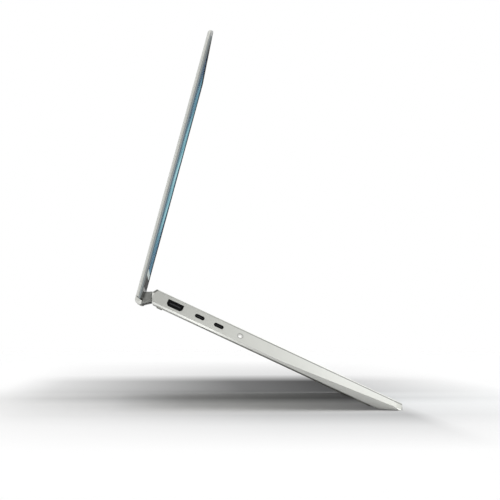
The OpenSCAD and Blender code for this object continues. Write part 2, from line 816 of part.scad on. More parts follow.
module fin_stacks() color("#a9abae") stand() both_sides() {
    z1 = board_top + 2;
    fins = 21;
    x0 = fan_at[0] - fin_half;
    x1 = fan_at[0] + fin_half + 0.5;
    step = 2 * fin_half / (fins - 1);
    box([x0, fin_y[0], z1 - 0.4], [x1, fin_y[1], z1]);
    box([x0, fin_y[0], in_floor + seat], [x1, fin_y[1], in_floor + seat + 0.4]);
    for (i = [0:fins - 1])
        box([x0 + i * step, fin_y[0], in_floor + seat], [x0 + i * step + 0.5, fin_y[1], z1]);
}

module fan_case(x) color("#33353a") stand() translate([x, fan_at[1], fan_z]) {
    hub = 9;
    difference() {
        pad([0, 0], [fan_box, fan_box], 0, fan_h, 5);
        translate([0, 0, 0.6]) cylinder(r = fan_r + 2, h = fan_h - 1.2);
        box([-fan_r, 0, 0.6], [fan_r, fan_box, fan_h - 0.6]);
        difference() {
            translate([0, 0, -1]) cylinder(r = 19, h = fan_h + 2);
            translate([0, 0, -1]) cylinder(r = hub, h = fan_h - 1);
            for (a = [45, 165, 285]) rotate([0, 0, a]) box([0, -1.5, -1], [25, 1.5, 0.6]);
        }
        translate([0, 0, 0.6]) cylinder(r = hub + 1, h = fan_h);
    }
    // shaft that carries the rotor
    cylinder(r = 1.2, h = fan_h - 0.8);
}

module fan_case_left() fan_case(-fan_at[0]);

module fan_case_right() fan_case(fan_at[0]);

module fan_rotor(x) color("#1d1f23") stand() translate([x, fan_at[1], fan_z + 0.9]) {
    h = fan_h - 1.9;
    difference() {
        union() {
            cylinder(r = 10, h = h);
            for (i = [0:fan_blades - 1]) rotate([0, 0, i * 360 / fan_blades])
                translate([9, 0, 0.3]) rotate([0, 0, -32]) cube([17, 0.7, h - 0.6]);
            difference() {
                translate([0, 0, 0.3]) cylinder(r = fan_r - 3, h = 0.6);
                translate([0, 0, -1]) cylinder(r = fan_r - 5, h = 3);
            }
        }
        translate([0, 0, -1]) cylinder(r = 1.2 + pin_fit, h = h + 2);
    }
}

module fan_rotor_left() fan_rotor(-fan_at[0]);

module fan_rotor_right() fan_rotor(fan_at[0]);

module memory_chips() color("#26282b") stand() for (x = [-10, 10], y = [-80, -92])
    pad([x, y], memory_size, board_top, board_top + 1, 0.3);

module drive_module() color("#2a5d47") stand() {
    box([36, card_y, board_top], [36 + drive_size[0], card_y + drive_size[1], board_top + card_t]);
    for (i = [1:3])
        pad([36 + i * drive_size[0] / 4, card_y + drive_size[1] / 2], [15, 13],
            board_top + card_t - eps, board_top + 2, 0.3);
}

module wireless_card() color("#7f8387") stand() {
    box([-98, card_y, board_top], [-98 + wireless_size[0], card_y + wireless_size[1], board_top + card_t]);
    pad([-98 + wireless_size[0] / 2, card_y + wireless_size[1] / 2], [20, 16],
        board_top + card_t - eps, board_top + 2, 0.5);
}

// ---------------------------------------------------------------- battery and sound

module battery_frame() color("#303237") stand() difference() {
    box([-battery_w / 2 - 2, battery_y[0] - 2, in_floor], [battery_w / 2 + 2, battery_y[1] + 2, in_floor + 4]);
    box([-battery_w / 2, battery_y[0], in_floor - 1], [battery_w / 2, battery_y[1], in_floor + 9]);
}

module battery_cells() color("#3f4248") stand() for (i = [0:3]) {
    w = battery_w / 4;
    pad([-battery_w / 2 + (i + 0.5) * w, (battery_y[0] + battery_y[1]) / 2],
        [w - 0.8, battery_y[1] - battery_y[0] - 0.8], in_floor, in_floor + cell_h, 2.5);
}

module speaker(s) color("#2b2d31") stand() translate([s * speaker_at[0], speaker_at[1], 0]) {
    difference() {
        pad([0, 0], speaker_size, in_floor, in_floor + 6, 3);
        translate([0, 0, in_floor + 5]) pad([0, 4], [20, 34], 0, 2, 9);
    }
    translate([0, 0, in_floor + 5 - eps]) pad([0, 4], [14, 27], 0, 0.6, 6.5);
}

module speaker_left() speaker(-1);

module speaker_right() speaker(1);

// ---------------------------------------------------------------- sockets

// A metal shell with a tongue inside, behind its opening in the wall
module socket(side, depth, tongue) {
    x0 = side < 0 ? -half_w + wall + 0.05 : half_w - wall - 0.05 - depth;
    back = side < 0 ? x0 + depth - 1 : x0;
    difference() {
        bar(x0, x0 + depth) children(0);
        bar(side < 0 ? x0 - 1 : x0 + 1, side < 0 ? x0 + depth - 1 : x0 + depth + 1) children(1);
    }
    bar(side < 0 ? x0 + 1 : x0 + 0.5, x0 + depth - (side < 0 ? 0.5 : 1)) square(tongue, center = true);
}

module at_port(at) translate([0, deck_rear - at, port_z]) children();

module socket_foot(side, at, w, depth, bottom)
    translate([0, deck_rear - at, 0])
        box([side < 0 ? -half_w + wall + 2 : half_w - wall - depth, -w / 2, board_top],
            [side < 0 ? -half_w + wall + depth : half_w - wall - 2, w / 2, port_z - bottom]);

module video_socket() color("#2a2b2d") stand() {
    at_port(video_at) socket(-1, 11.5, [10.5, 1.2]) {
        video_outline(video_size[0] + 0.9, video_size[1] + 0.8, 2);
        video_outline(video_size[0] - 0.4, video_size[1] - 0.4, 1.7);
    }
    socket_foot(-1, video_at, 10, 11.5, video_size[1] / 2 + 0.2);
}

module usb_c_socket(at) {
    at_port(at) socket(-1, 9, [6.2, 0.7]) {
        pill(usb_c_size[0] + 0.8, usb_c_size[1] + 0.8);
        pill(usb_c_size[0] - 0.4, usb_c_size[1] - 0.4);
    }
    socket_foot(-1, at, 6, 9, usb_c_size[1] / 2 + 0.2);
}

module usb_c_socket_rear() color("#2a2b2d") stand() usb_c_socket(usb_c_at);

module usb_c_socket_front() color("#2a2b2d") stand() usb_c_socket(usb_c_at + usb_c_step);

module indicator_window() color("#e6e4dc") stand() {
    on_wall(lamp_at, -half_w + 0.05, -half_w + wall + 3) pill(lamp_size[0] - 0.3, lamp_size[1] - 0.3);
    socket_foot(-1, lamp_at, 3, 6, lamp_size[1] / 2 - 0.5);
}

module usb_a_socket() color("#2a2b2d") stand() {
    at_port(usb_a_at) socket(1, 10.5, [11, 1.6]) {
        square([usb_a_size[0] + 0.8, usb_a_size[1] + 0.8], center = true);
        square([usb_a_size[0] - 0.4, usb_a_size[1] - 0.4], center = true);
    }
    socket_foot(1, usb_a_at, 9, 10.5, usb_a_size[1] / 2 + 0.2);
}

module audio_jack() color("#3a3b3d") stand() {
    difference() {
        union() {
            on_wall(jack_at, half_w - 12.5, half_w - wall - 0.05) square([6.6, 5.6], center = true);
            on_wall(jack_at, half_w - wall - 1, half_w - 0.1) circle(2.45);
        }
        on_wall(jack_at, half_w - 11.5, half_w + 1) circle(jack_r);
    }
    socket_foot(1, jack_at, 5, 10.5, 2.6);
}

// ---------------------------------------------------------------- drawing
top_case();
bottom_cover();
exhaust_grille();
front_feet();
rear_feet();
cover_screws();
keyboard_frame();
keyboard_sheet();
keyboard_plate();
keys_function();
keys_number();
keys_upper();
keys_home();
keys_lower();
keys_modifier();
space_bar();
keys_arrow();
power_key();
touchpad();
touchpad_tray();
hinge_bracket_left();
hinge_bracket_right();
main_board();
processor();
heat_spreader();
heat_pipes();
fin_stacks();
fan_case_left();
fan_case_right();
fan_rotor_left();
fan_rotor_right();
memory_chips();
drive_module();
wireless_card();
battery_cells();
battery_frame();
speaker_left();
speaker_right();
video_socket();
usb_c_socket_rear();
usb_c_socket_front();
indicator_window();
usb_a_socket();
audio_jack();
lid_shell();
lid_frame();
lid_lip();
lip_bumpers();
hinge_cover_left();
hinge_cover_right();
hinge_arm_left();
hinge_arm_right();
screen_glass();
display_panel();
camera_module();
lid_cable();
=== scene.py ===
# %% [markdown]
# # A laptop computer with a lift hinge
#
# The real thing is a thin metal base, a thin lid, and a hinge that raises the rear of the base when the
# lid opens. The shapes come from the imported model, the frame. This lesson dresses that frame: it gives
# each part its finish, adds the small pieces that only show close up, and sets up light and camera.

# %% Load the frame
import json
import math

import bmesh
import bpy
from mathutils import Matrix, Vector

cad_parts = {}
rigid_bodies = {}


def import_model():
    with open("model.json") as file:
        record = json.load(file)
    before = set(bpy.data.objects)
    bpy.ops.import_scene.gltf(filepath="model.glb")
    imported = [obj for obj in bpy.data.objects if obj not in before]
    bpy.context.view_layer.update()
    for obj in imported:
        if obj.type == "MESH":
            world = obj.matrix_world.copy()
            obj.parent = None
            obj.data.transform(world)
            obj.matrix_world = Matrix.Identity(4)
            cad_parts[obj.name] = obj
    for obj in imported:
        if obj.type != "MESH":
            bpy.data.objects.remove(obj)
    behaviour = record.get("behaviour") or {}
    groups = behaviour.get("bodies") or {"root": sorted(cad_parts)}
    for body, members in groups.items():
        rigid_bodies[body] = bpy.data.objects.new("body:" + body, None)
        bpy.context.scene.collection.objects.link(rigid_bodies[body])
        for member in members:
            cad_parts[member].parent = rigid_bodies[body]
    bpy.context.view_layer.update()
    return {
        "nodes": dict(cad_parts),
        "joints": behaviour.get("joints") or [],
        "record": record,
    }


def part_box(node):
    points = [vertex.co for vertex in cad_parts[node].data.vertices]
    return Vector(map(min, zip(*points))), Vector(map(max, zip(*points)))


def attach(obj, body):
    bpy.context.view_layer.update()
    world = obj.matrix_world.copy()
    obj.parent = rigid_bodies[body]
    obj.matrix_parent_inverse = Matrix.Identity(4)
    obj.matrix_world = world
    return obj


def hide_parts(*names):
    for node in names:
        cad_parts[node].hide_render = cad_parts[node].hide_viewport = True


for leftover in list(bpy.data.objects):
    bpy.data.objects.remove(leftover)
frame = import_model()
nodes_of_frame = frame["nodes"]

# %% [markdown]
# ## Two drawing boards
#
# The base stands a little nose-down on the desk, and the lid leans back. Measuring on a tilted part is
# awkward, so each gets its own drawing board in millimetres: x across from the middle, y from the
# hinge axis towards the rear, z up, with the base level and the lid closed on it. One could turn every
# point by hand instead, but a matrix does it once and serves meshes and materials alike.

# %% Boards for the base and the lid
joints = {joint["name"]: joint for joint in frame["joints"]}
hinge_at = Vector(joints["lid_hinge"]["pos_m"])
key_down = joints["space_bar_press"]["axis"]
tilt = math.atan2(key_down[1], -key_down[2])
lid_open = math.radians(-joints["lid_hinge"]["range_deg"][0])


def board(angle):
    return Matrix.Translation(hinge_at) @ Matrix.Rotation(angle, 4, "X") @ Matrix.Scale(0.001, 4)


BASE = board(tilt)
LID = board(tilt - lid_open)
HALF_W = 178.0
print("base tilts", round(math.degrees(tilt), 3), "degrees, lid opens", round(math.degrees(lid_open), 1))


def span(node, matrix):
    """Lowest and highest corner of a part on a drawing board, in millimetres."""
    back = matrix.inverted()
    points = [back @ v.co for v in nodes_of_frame[node].data.vertices]
    return Vector(map(min, zip(*points))), Vector(map(max, zip(*points)))


print("lid shell on its board:", [tuple(round(v, 1) for v in c) for c in span("lid_shell", LID)])

# %% [markdown]
# ## Camera
#
# The view is from the user's left, level with the desk and rolled, so the base seems to dip to the
# right. A long lens keeps the far side of the lid nearly hidden behind the near one. The camera could
# be aimed with a constraint, but a direction and a roll are plain to read and to change.

# %% Place the camera
def linked(name, data):
    """A new object in the scene."""
    made = bpy.data.objects.new(name, data)
    bpy.context.scene.collection.objects.link(made)
    return made


camera_data = bpy.data.cameras.new("camera")
camera = linked("camera", camera_data)
bpy.context.scene.camera = camera
EYE = BASE @ Vector((-1696, -11.6, -12.55))
IMAGE = 500
FOCAL = 1737.0            # in pixels of the image, as AXIS_AT is
AXIS_AT = (157, 314.8)
DIP = math.radians(24.99)
ROLL = DIP - tilt
SENSOR = 36
camera_data.sensor_width = SENSOR
camera_data.lens = FOCAL * SENSOR / IMAGE
camera_data.clip_end = 50


def aim(axis_at, roll):
    """Turns the camera so that the X axis runs to that place in the image, and the front hangs by roll."""
    across = Vector(((axis_at[0] - IMAGE / 2) / FOCAL, (IMAGE / 2 - axis_at[1]) / FOCAL, -1)).normalized()
    forward = Vector((math.cos(roll), -math.sin(roll), 0))
    forward = (forward - across * forward.dot(across)).normalized()
    return Matrix((across, -forward, across.cross(-forward))).to_quaternion()


camera.rotation_mode = "QUATERNION"
camera.location = EYE
camera.rotation_quaternion = aim(AXIS_AT, ROLL)
print("lens", round(camera_data.lens, 2), "mm, eye at", [round(v, 5) for v in EYE])

# %% [markdown]
# ## Small tools for nodes
#
# Everything that follows is made of nodes: the world, the metal, the glass. Each could be wired by
# hand, but the same few nodes come back all the time, so short helpers make them. First the ones that
# name a colour, add a node, fill its sockets and say where on a part a point lies.

# %% Helpers for colours, nodes and places
def tone(r, g, b):
    """A colour given as 0 to 255 per channel, as linear light."""
    def linear(c):
        c /= 255
        return c / 12.92 if c <= 0.04045 else ((c + 0.055) / 1.055) ** 2.4
    return (linear(r), linear(g), linear(b), 1.0)


def add(tree, kind, **settings):
    """A new node. Settings name its properties, or its inputs by number as i0, i1 and so on."""
    node = tree.nodes.new("ShaderNode" + kind)
    for key, value in settings.items():
        if key[0] == "i" and key[1:].isdigit():
            node.inputs[int(key[1:])].default_value = value
        else:
            setattr(node, key, value)
    return node


def join(tree, out, into):
    tree.links.new(out, into)


def fill(tree, node, **sockets):
    """Fills sockets by name, with _ for a space, by a link or a plain value. Returns the first output."""
    for name, value in sockets.items():
        socket = node.inputs[name.replace("_", " ")]
        if isinstance(value, bpy.types.NodeSocket):
            join(tree, value, socket)
        else:
            socket.default_value = value
    return node.outputs[0]


def blank(name):
    """A new material, its nodes and its shader."""
    material = bpy.data.materials.new(name)
    material.use_nodes = True
    return material, material.node_tree, material.node_tree.nodes["Principled BSDF"]


def place(tree, matrix=None):
    """Coordinates on the part: metres of the whole frame, or millimetres on a drawing board."""
    out = add(tree, "TexCoord").outputs["Object"]
    if matrix is None:
        return out
    return fill(tree, add(tree, "Mapping", vector_type="TEXTURE"), Location=matrix.to_translation(),
                Rotation=matrix.to_euler(), Scale=matrix.to_scale(), Vector=out)


print("mid grey", round(tone(128, 128, 128)[0], 3))

# %% [markdown]
# ## Patterns and ranges
#
# A finish starts from noise, which a ramp turns into tones and a range turns into roughness. Node
# groups could hold these steps, but plain functions are shorter and leave plain nodes in each material.

# %% Helpers for patterns
def noise(tree, at, scale, detail=3.0, rough=0.6):
    return fill(tree, add(tree, "TexNoise"), Scale=scale, Detail=detail, Roughness=rough, Vector=at)


def ramp(tree, factor, stops):
    """Colours along a factor, given as (position, colour)."""
    r = add(tree, "ValToRGB")
    while len(r.color_ramp.elements) < len(stops):
        r.color_ramp.elements.new(0.5)
    for element, (position, colour) in zip(r.color_ramp.elements, stops):
        element.position, element.color = position, colour
    join(tree, factor, r.inputs[0])
    return r.outputs[0]


def spread(tree, factor, low, high, a=0.0, b=1.0):
    """Moves a factor from the range a to b into the range low to high."""
    m = add(tree, "MapRange", i1=a, i2=b, i3=low, i4=high)
    join(tree, factor, m.inputs[0])
    return m.outputs[0]


print("pattern helpers ready")

# %% [markdown]
# ## Sums of places and shaders
#
# A mask is a sum with a point's place, such as how far it lies beyond an edge. One node type does all
# the arithmetic, and these helpers give its operations plain names, so that a mask reads like a line
# of arithmetic.

# %% Helpers for sums and mixes
def math_node(tree, operation, first, second=0.0):
    m = add(tree, "Math", operation=operation)
    for socket, value in zip(m.inputs, (first, second)):
        if isinstance(value, (int, float)):
            socket.default_value = value
        else:
            join(tree, value, socket)
    return m.outputs[0]


def times(tree, *values):
    product = values[0]
    for value in values[1:]:
        product = math_node(tree, "MULTIPLY", product, value)
    return product


def less(tree, first, second):
    return math_node(tree, "SUBTRACT", first, second)


def larger(tree, first, second):
    return math_node(tree, "MAXIMUM", first, second)


def unsigned(tree, value):
    return math_node(tree, "ABSOLUTE", value)


def weighed(tree, first, share_1, second, share_2):
    """A sum of two values, each times its own share."""
    return math_node(tree, "ADD", times(tree, first, share_1), times(tree, second, share_2))


def mixed(tree, share, first, second):
    """A mix of two shaders."""
    mix = add(tree, "MixShader")
    if isinstance(share, float):
        mix.inputs[0].default_value = share
    else:
        join(tree, share, mix.inputs[0])
    join(tree, first, mix.inputs[1])
    join(tree, second, mix.inputs[2])
    return mix.outputs[0]


print("sum helpers ready")

# %% [markdown]
# ## World
#
# A product shot wants broad, soft light, and an even glow from all round gives most of it. A
# background picture could do that, but plain white is enough. The world is pure white only where the
# camera, a reflection or glass looks at it, so a white background costs no extra light on the metal.

# %% World
bpy.context.scene.view_settings.view_transform = "Standard"
GLOW = 0.46
WHITE = (1, 1, 1, 1)
world = bpy.data.worlds.new("studio")
bpy.context.scene.world = world
world.use_nodes = True
tree = world.node_tree
tree.nodes.clear()
glow = add(tree, "Background", i0=WHITE, i1=GLOW)
white = add(tree, "Background", i0=WHITE, i1=1.0)
rays = add(tree, "LightPath")
looked_at = larger(tree, rays.outputs["Is Camera Ray"], rays.outputs["Is Glossy Ray"])
looked_at = larger(tree, looked_at, rays.outputs["Is Transmission Ray"])
sky_seen = mixed(tree, looked_at, glow.outputs[0], white.outputs[0])
join(tree, sky_seen, add(tree, "OutputWorld").inputs["Surface"])
print("world glows at", GLOW)

# %% [markdown]
# ## Lamps
#
# One very wide soft lamp from above gives the top light. A small panel by the front corner makes the
# side wall brighten towards the front, and another below the rear lifts the slanted lower edge there,
# as white paper would. More lamps could model the metal further, but each one adds a shadow of its own.

# %% Lamps
def panel(name, place, target, size, power):
    """A rectangular lamp, in metres and watts, which neither the camera nor a reflection sees."""
    data = bpy.data.lights.new(name, "AREA")
    data.shape = "RECTANGLE"
    data.size, data.size_y = size
    data.energy = power
    lamp = linked(name, data)
    lamp.location = place
    lamp.rotation_euler = (Vector(target) - Vector(place)).to_track_quat("-Z", "Y").to_euler()
    lamp.visible_camera = False
    lamp.visible_glossy = False
    return lamp


TO_KEY = Vector((-0.15, -0.35, 0.9))     # as the rolled camera sees it: towards it, left, up
KEY = 0.48
KEY_WIDTH = math.radians(100)
key_light = bpy.data.lights.new("key_light", "SUN")
key_light.energy = KEY * math.pi
key_light.angle = KEY_WIDTH
key_lamp = linked("key_light", key_light)
key_lamp.rotation_euler = (Matrix.Rotation(-ROLL, 3, "X") @ TO_KEY).to_track_quat("Z", "Y").to_euler()
front_panel = panel("front_panel", place=(-0.36, -0.17, 0.05), target=(-0.178, -0.15, 0.0),
                    size=(0.12, 0.10), power=0.3)
low_panel = panel("low_panel", place=(-0.186, 0.05, -0.045), target=(-0.184, 0.05, 0.0),
                  size=(0.03, 0.1), power=0.026)
print("lamps:", key_lamp.name, front_panel.name, low_panel.name)

# %% [markdown]
# ## The recipe of a finish
#
# Every finish here is a shader with a little life in it: a tone that wanders, a roughness that is not
# the same everywhere, and a fine grain in the surface. Scans of real surfaces could be wrapped round
# the parts, but noise needs no file and fits any shape. A number that is the same all over stays on
# the shader's own socket.

# %% Make a finish
MOST_NOISE = (0.3, 0.7)      # nearly all values of a noise lie in this range
WANDER_SHARE, GRAIN_SHARE = 0.6, 0.4
BUMP_STRENGTH = 0.35


def finish(name, light, dark, rough=(0.4, 0.5), metal=0.0, grain=3000.0, depth=0.02, wander=25.0,
           **sockets):
    """A finish between two tones. Grain is per metre, depth in millimetres, sockets are the shader's own."""
    material, tree, shader = blank(name)
    at = place(tree)
    slow = noise(tree, at, wander)
    fine = noise(tree, at, grain, 1.5)
    tones = ramp(tree, weighed(tree, slow, WANDER_SHARE, fine, GRAIN_SHARE),
                 [(MOST_NOISE[0], tone(*dark)), (MOST_NOISE[1], tone(*light))])
    bump = fill(tree, add(tree, "Bump"), Strength=BUMP_STRENGTH, Distance=depth / 1000, Height=fine)
    fill(tree, shader, Metallic=metal, Base_Color=tones, Normal=bump,
         Roughness=spread(tree, slow, *rough, *MOST_NOISE), **sockets)
    return material


print("finish recipe ready")

# %% [markdown]
# ## Plain finishes
#
# Bead-blasted aluminium scatters light almost like paint, with a soft sheen, so it is only partly
# metallic here and fairly rough. Plastics are not metallic at all. Rubber is rough and a little
# darker. Each pair of tones is close together: a real finish wanders, but only just.

# %% Make the plain finishes
# light and dark tone, then roughness, metal share, grain per metre and its depth where they differ
PLAIN = {
    "satin_shell": ((211, 212, 206), (204, 205, 199), (0.42, 0.48), 0.2, 9000, 0.012),
    "frame_grey": ((176, 178, 176), (169, 171, 169), (0.5, 0.58), 0.0, 6000),
    "lip_plastic": ((212, 213, 207), (206, 207, 201), (0.45, 0.52), 0.0, 7000),
    "hinge_grey": ((158, 159, 155), (146, 147, 143), (0.45, 0.55), 0.2, 6000),
    "dark_grille": ((62, 62, 63), (52, 52, 53), (0.5, 0.6), 0.0, 5000),
    "rubber_grey": ((194, 194, 189), (184, 184, 179), (0.75, 0.85), 0.0, 4000, 0.05),
    "key_plastic": ((196, 197, 193), (189, 190, 186), (0.5, 0.58), 0.0, 9000, 0.02),
    "key_well": ((160, 161, 158), (152, 153, 150), (0.42, 0.48), 0.35, 9000, 0.012),
    "membrane": ((72, 73, 76), (60, 61, 64), (0.6, 0.7)),
    "steel_plate": ((166, 167, 168), (150, 151, 153), (0.32, 0.42), 1.0, 2500),
    "pad_glass": ((200, 201, 197), (196, 197, 193), (0.3, 0.36), 0.0, 5000, 0.004),
    "steel_dark": ((120, 121, 124), (104, 105, 108), (0.3, 0.42), 1.0, 2500),
    "chip_black": ((46, 47, 49), (36, 37, 39), (0.45, 0.6)),
    "copper": ((196, 128, 84), (178, 108, 66), (0.28, 0.42), 1.0, 1500),
    "fin_metal": ((182, 184, 186), (160, 162, 165), (0.3, 0.4), 1.0, 2500),
    "fan_plastic": ((42, 43, 46), (32, 33, 36), (0.45, 0.6)),
    "cell_foil": ((62, 64, 68), (50, 52, 56), (0.3, 0.45), 0.3, 1200, 0.08),
    "battery_frame": ((44, 45, 48), (34, 35, 38), (0.5, 0.65)),
    "speaker_box": ((40, 41, 44), (30, 31, 34), (0.5, 0.65)),
    "socket_metal": ((52, 53, 55), (38, 39, 41), (0.34, 0.5), 0.6, 3000),
    "screw_steel": ((150, 151, 152), (128, 129, 131), (0.28, 0.4), 1.0, 3000),
    "camera_black": ((24, 25, 28), (16, 17, 20), (0.2, 0.3)),
    "cable_black": ((34, 35, 38), (24, 25, 28), (0.55, 0.7)),
}
FINISHES = {name: finish(name, *numbers) for name, numbers in PLAIN.items()}
print(len(FINISHES), "plain finishes")

# %% [markdown]
# ## Circuit board
#
# A board is green lacquer over copper tracks. The tracks could be modelled, but nobody sees more than
# a glimpse through the vents, so a brick pattern draws them in the lacquer.

# %% Board lacquer with tracks
TRACKS_PER_METRE = 260
board_green = finish("board_green", (34, 92, 62), (26, 76, 50), (0.3, 0.45), 0.0, 2000)
tree = board_green.node_tree
tracks = fill(tree, add(tree, "TexBrick"), Scale=TRACKS_PER_METRE, Mortar_Size=0.03, Vector=place(tree),
              Color1=tone(30, 84, 56), Color2=tone(34, 92, 62), Mortar=tone(70, 132, 92))
fill(tree, tree.nodes["Principled BSDF"], Base_Color=tracks)
FINISHES["board_green"] = board_green
print("tracks", round(1000 / TRACKS_PER_METRE, 1), "mm apart")

# %% [markdown]
# ## Indicator window
#
# A small clear window in the left side lets a white light through. A glowing spot behind clear plastic
# would be hidden by the solid window, so the window glows by itself, brightest in its middle.

# %% Window that glows in its middle
GLOW_REACH = 0.0022
LAMP_STRENGTH = 0.6


def grey(share):
    return (share, share, share, 1)


lamp_window = finish("lamp_window", (214, 214, 210), (206, 206, 202), (0.25, 0.35))
tree = lamp_window.node_tree
low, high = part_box("indicator_window")
middle = (low + high) / 2
offset = add(tree, "VectorMath", operation="DISTANCE", i1=(low.x, middle.y, middle.z))
join(tree, place(tree), offset.inputs[0])
glow_at = ramp(tree, spread(tree, offset.outputs["Value"], 0, 1, 0.0, GLOW_REACH),
               [(0.0, grey(1)), (0.55, grey(0.35)), (1.0, grey(0))])
fill(tree, tree.nodes["Principled BSDF"], Emission_Color=glow_at, Emission_Strength=LAMP_STRENGTH)
FINISHES["lamp_window"] = lamp_window
print("window", [round(v * 1000, 1) for v in high - low], "mm")

# %% [markdown]
# ## Cover glass
#
# One sheet of glass covers the whole front of the lid. Behind its edge it is printed black, and the
# picture shows through the clear middle. Such glass has a coating against reflections, so it stays
# clear even along its surface, where bare glass turns into a mirror. A plain Fresnel shader has no
# coating, so a mask picks print or clear glass, and an even share of gloss lies over both.

# %% Where the picture is
PANEL_EDGE = 1.3
panel_low, panel_high = span("display_panel", LID)
picture_low = panel_low + Vector((PANEL_EDGE, PANEL_EDGE, 0))
picture_high = panel_high - Vector((PANEL_EDGE, PANEL_EDGE, 0))
picture_size = picture_high - picture_low


def inside(tree, at, low, high, soft=0.02):
    """1 inside a rectangle on a drawing board and 0 outside it."""
    parts = add(tree, "SeparateXYZ")
    join(tree, at, parts.inputs[0])
    masks = []
    for axis in (0, 1):
        centre, half = (low[axis] + high[axis]) / 2, (high[axis] - low[axis]) / 2
        far = unsigned(tree, less(tree, parts.outputs[axis], centre))
        masks.append(spread(tree, far, 1.0, 0.0, half - soft, half + soft))
    return times(tree, *masks)


print("picture", [round(v, 1) for v in picture_size.xy], "mm")

# %% [markdown]
# ## Print and gloss
#
# The print is nearly black and a little smeared. Seen at a slant it shines more, so its share of gloss
# grows with the slant, and the clear middle keeps the even share. Two glass parts, one black and one
# clear, would need a joint between them that the real sheet doesn't have.

# %% Glass with a printed border
COATED_SHINE = 0.035
PRINT_SHINE = 0.07           # the most that the print gains at a slant
SLANT_POWER = 8.0
SMEARS = (0.06, 0.14)
cover_glass, tree, print_black = blank("cover_glass")
at = place(tree, LID)
blacks = ramp(tree, noise(tree, at, 0.05),
              [(MOST_NOISE[0], tone(12, 13, 15)), (MOST_NOISE[1], tone(18, 19, 21))])
smear = spread(tree, noise(tree, at, 0.03), *SMEARS, *MOST_NOISE)
border = fill(tree, print_black, Base_Color=blacks, Roughness=smear, Specular_IOR_Level=0.0)
clear = add(tree, "BsdfTransparent", i0=(0.97, 0.98, 0.98, 1)).outputs[0]
gloss = fill(tree, add(tree, "BsdfGlossy"), Color=WHITE, Roughness=smear)
slanting = math_node(tree, "POWER", add(tree, "LayerWeight").outputs["Facing"], SLANT_POWER)
border = mixed(tree, times(tree, slanting, PRINT_SHINE), border, gloss)
body = mixed(tree, inside(tree, at, picture_low, picture_high), border, clear)
join(tree, mixed(tree, COATED_SHINE, body, gloss), tree.nodes["Material Output"].inputs["Surface"])
FINISHES["cover_glass"] = cover_glass
print("print", round(picture_low.x + HALF_W, 1), "mm from the lid's side")

# %% [markdown]
# ## The picture on the screen
#
# The screen is on, with a plain desktop: a pale glow near the middle that falls off in soft ribbons
# through teal to navy, and a pale bar along the bottom. It could be painted as an image, but the
# distance from the glow, bent by waves and noise, gives the ribbons by itself.

# %% Bend the distance from the middle
GLOW_SHIFT = Vector((55, 2, 0))
GLOW_TURN = math.radians(-24)
GLOW_SIZE = (200, 120, 1e5)       # so deep that height doesn't count
RIBBON_TURN = math.radians(26)
RIBBON_SCALE = (0.006, 0.009, 0)
WAVES = {"Scale": 0.75, "Distortion": 8.0, "Detail": 1.2, "Detail_Scale": 0.8, "Detail_Roughness": 0.35}
WAVE_SHARE, SWELL_SHARE, REST_LEVEL = 0.34, 0.5, 0.42
picture_panel, tree, screen = blank("picture_panel")
at = place(tree, LID)
turned = fill(tree, add(tree, "Mapping", vector_type="TEXTURE"), Rotation=(0, 0, GLOW_TURN), Scale=GLOW_SIZE,
              Location=(picture_low + picture_high) / 2 + GLOW_SHIFT, Vector=at)
reach = add(tree, "VectorMath", operation="LENGTH")
join(tree, turned, reach.inputs[0])
ribbon_at = fill(tree, add(tree, "Mapping", vector_type="POINT"), Rotation=(0, 0, RIBBON_TURN),
                 Scale=RIBBON_SCALE, Vector=at)
swell = noise(tree, ribbon_at, 1.1, 1.0, 0.4)
folds = add(tree, "TexWave", wave_type="BANDS", bands_direction="Y", wave_profile="SIN")
fill(tree, folds, Vector=ribbon_at, **WAVES)
bent = less(tree, weighed(tree, folds.outputs["Fac"], WAVE_SHARE, swell, SWELL_SHARE), REST_LEVEL)
bent = math_node(tree, "ADD", bent, reach.outputs["Value"])
print("glow", GLOW_SIZE[:2], "mm to its edge")

# %% [markdown]
# ## Colours of the screen
#
# The bent distance runs through a ramp from pale to navy, and the bar along the bottom is a mask. The
# surface itself is nearly black, as a real panel is when it is off, so all its colour is its own light.

# %% Colour the desktop
BAR = 7.0
BAR_TONE = tone(196, 206, 204)
SCREEN_STRENGTH = 0.88
sky = ramp(tree, bent, [
    (0.0, tone(184, 228, 232)), (0.28, tone(142, 198, 208)), (0.5, tone(106, 164, 180)),
    (0.74, tone(84, 134, 156)), (0.94, tone(56, 100, 128)), (1.0, tone(42, 76, 108))])
bar_low = Vector((picture_low.x - 1, picture_high.y - BAR, 0))
bar_mask = inside(tree, at, bar_low, picture_high + Vector((1, 1, 0)))
desktop = add(tree, "Mix", data_type="RGBA")
join(tree, bar_mask, desktop.inputs["Factor"])
join(tree, sky, desktop.inputs[6])
desktop.inputs[7].default_value = BAR_TONE
fill(tree, screen, Base_Color=(0.01, 0.01, 0.012, 1), Specular_IOR_Level=0.0,
     Emission_Color=desktop.outputs[2], Emission_Strength=SCREEN_STRENGTH)
FINISHES["picture_panel"] = picture_panel
print("bar", BAR, "mm high")

# %% [markdown]
# ## Finishes on the frame
#
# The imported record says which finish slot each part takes. Handing the materials out from that list
# keeps the frame and the scene in step: a part that changes its slot changes its looks by itself.

# %% Hand out the finishes
slot_of = {part["node"]: part["material_slot"] for part in frame["record"]["subparts"]}
for name, part in nodes_of_frame.items():
    part.data.materials.clear()
    part.data.materials.append(FINISHES[slot_of[name]])
print("dressed", len(nodes_of_frame), "parts with", len(set(slot_of.values())), "finishes")
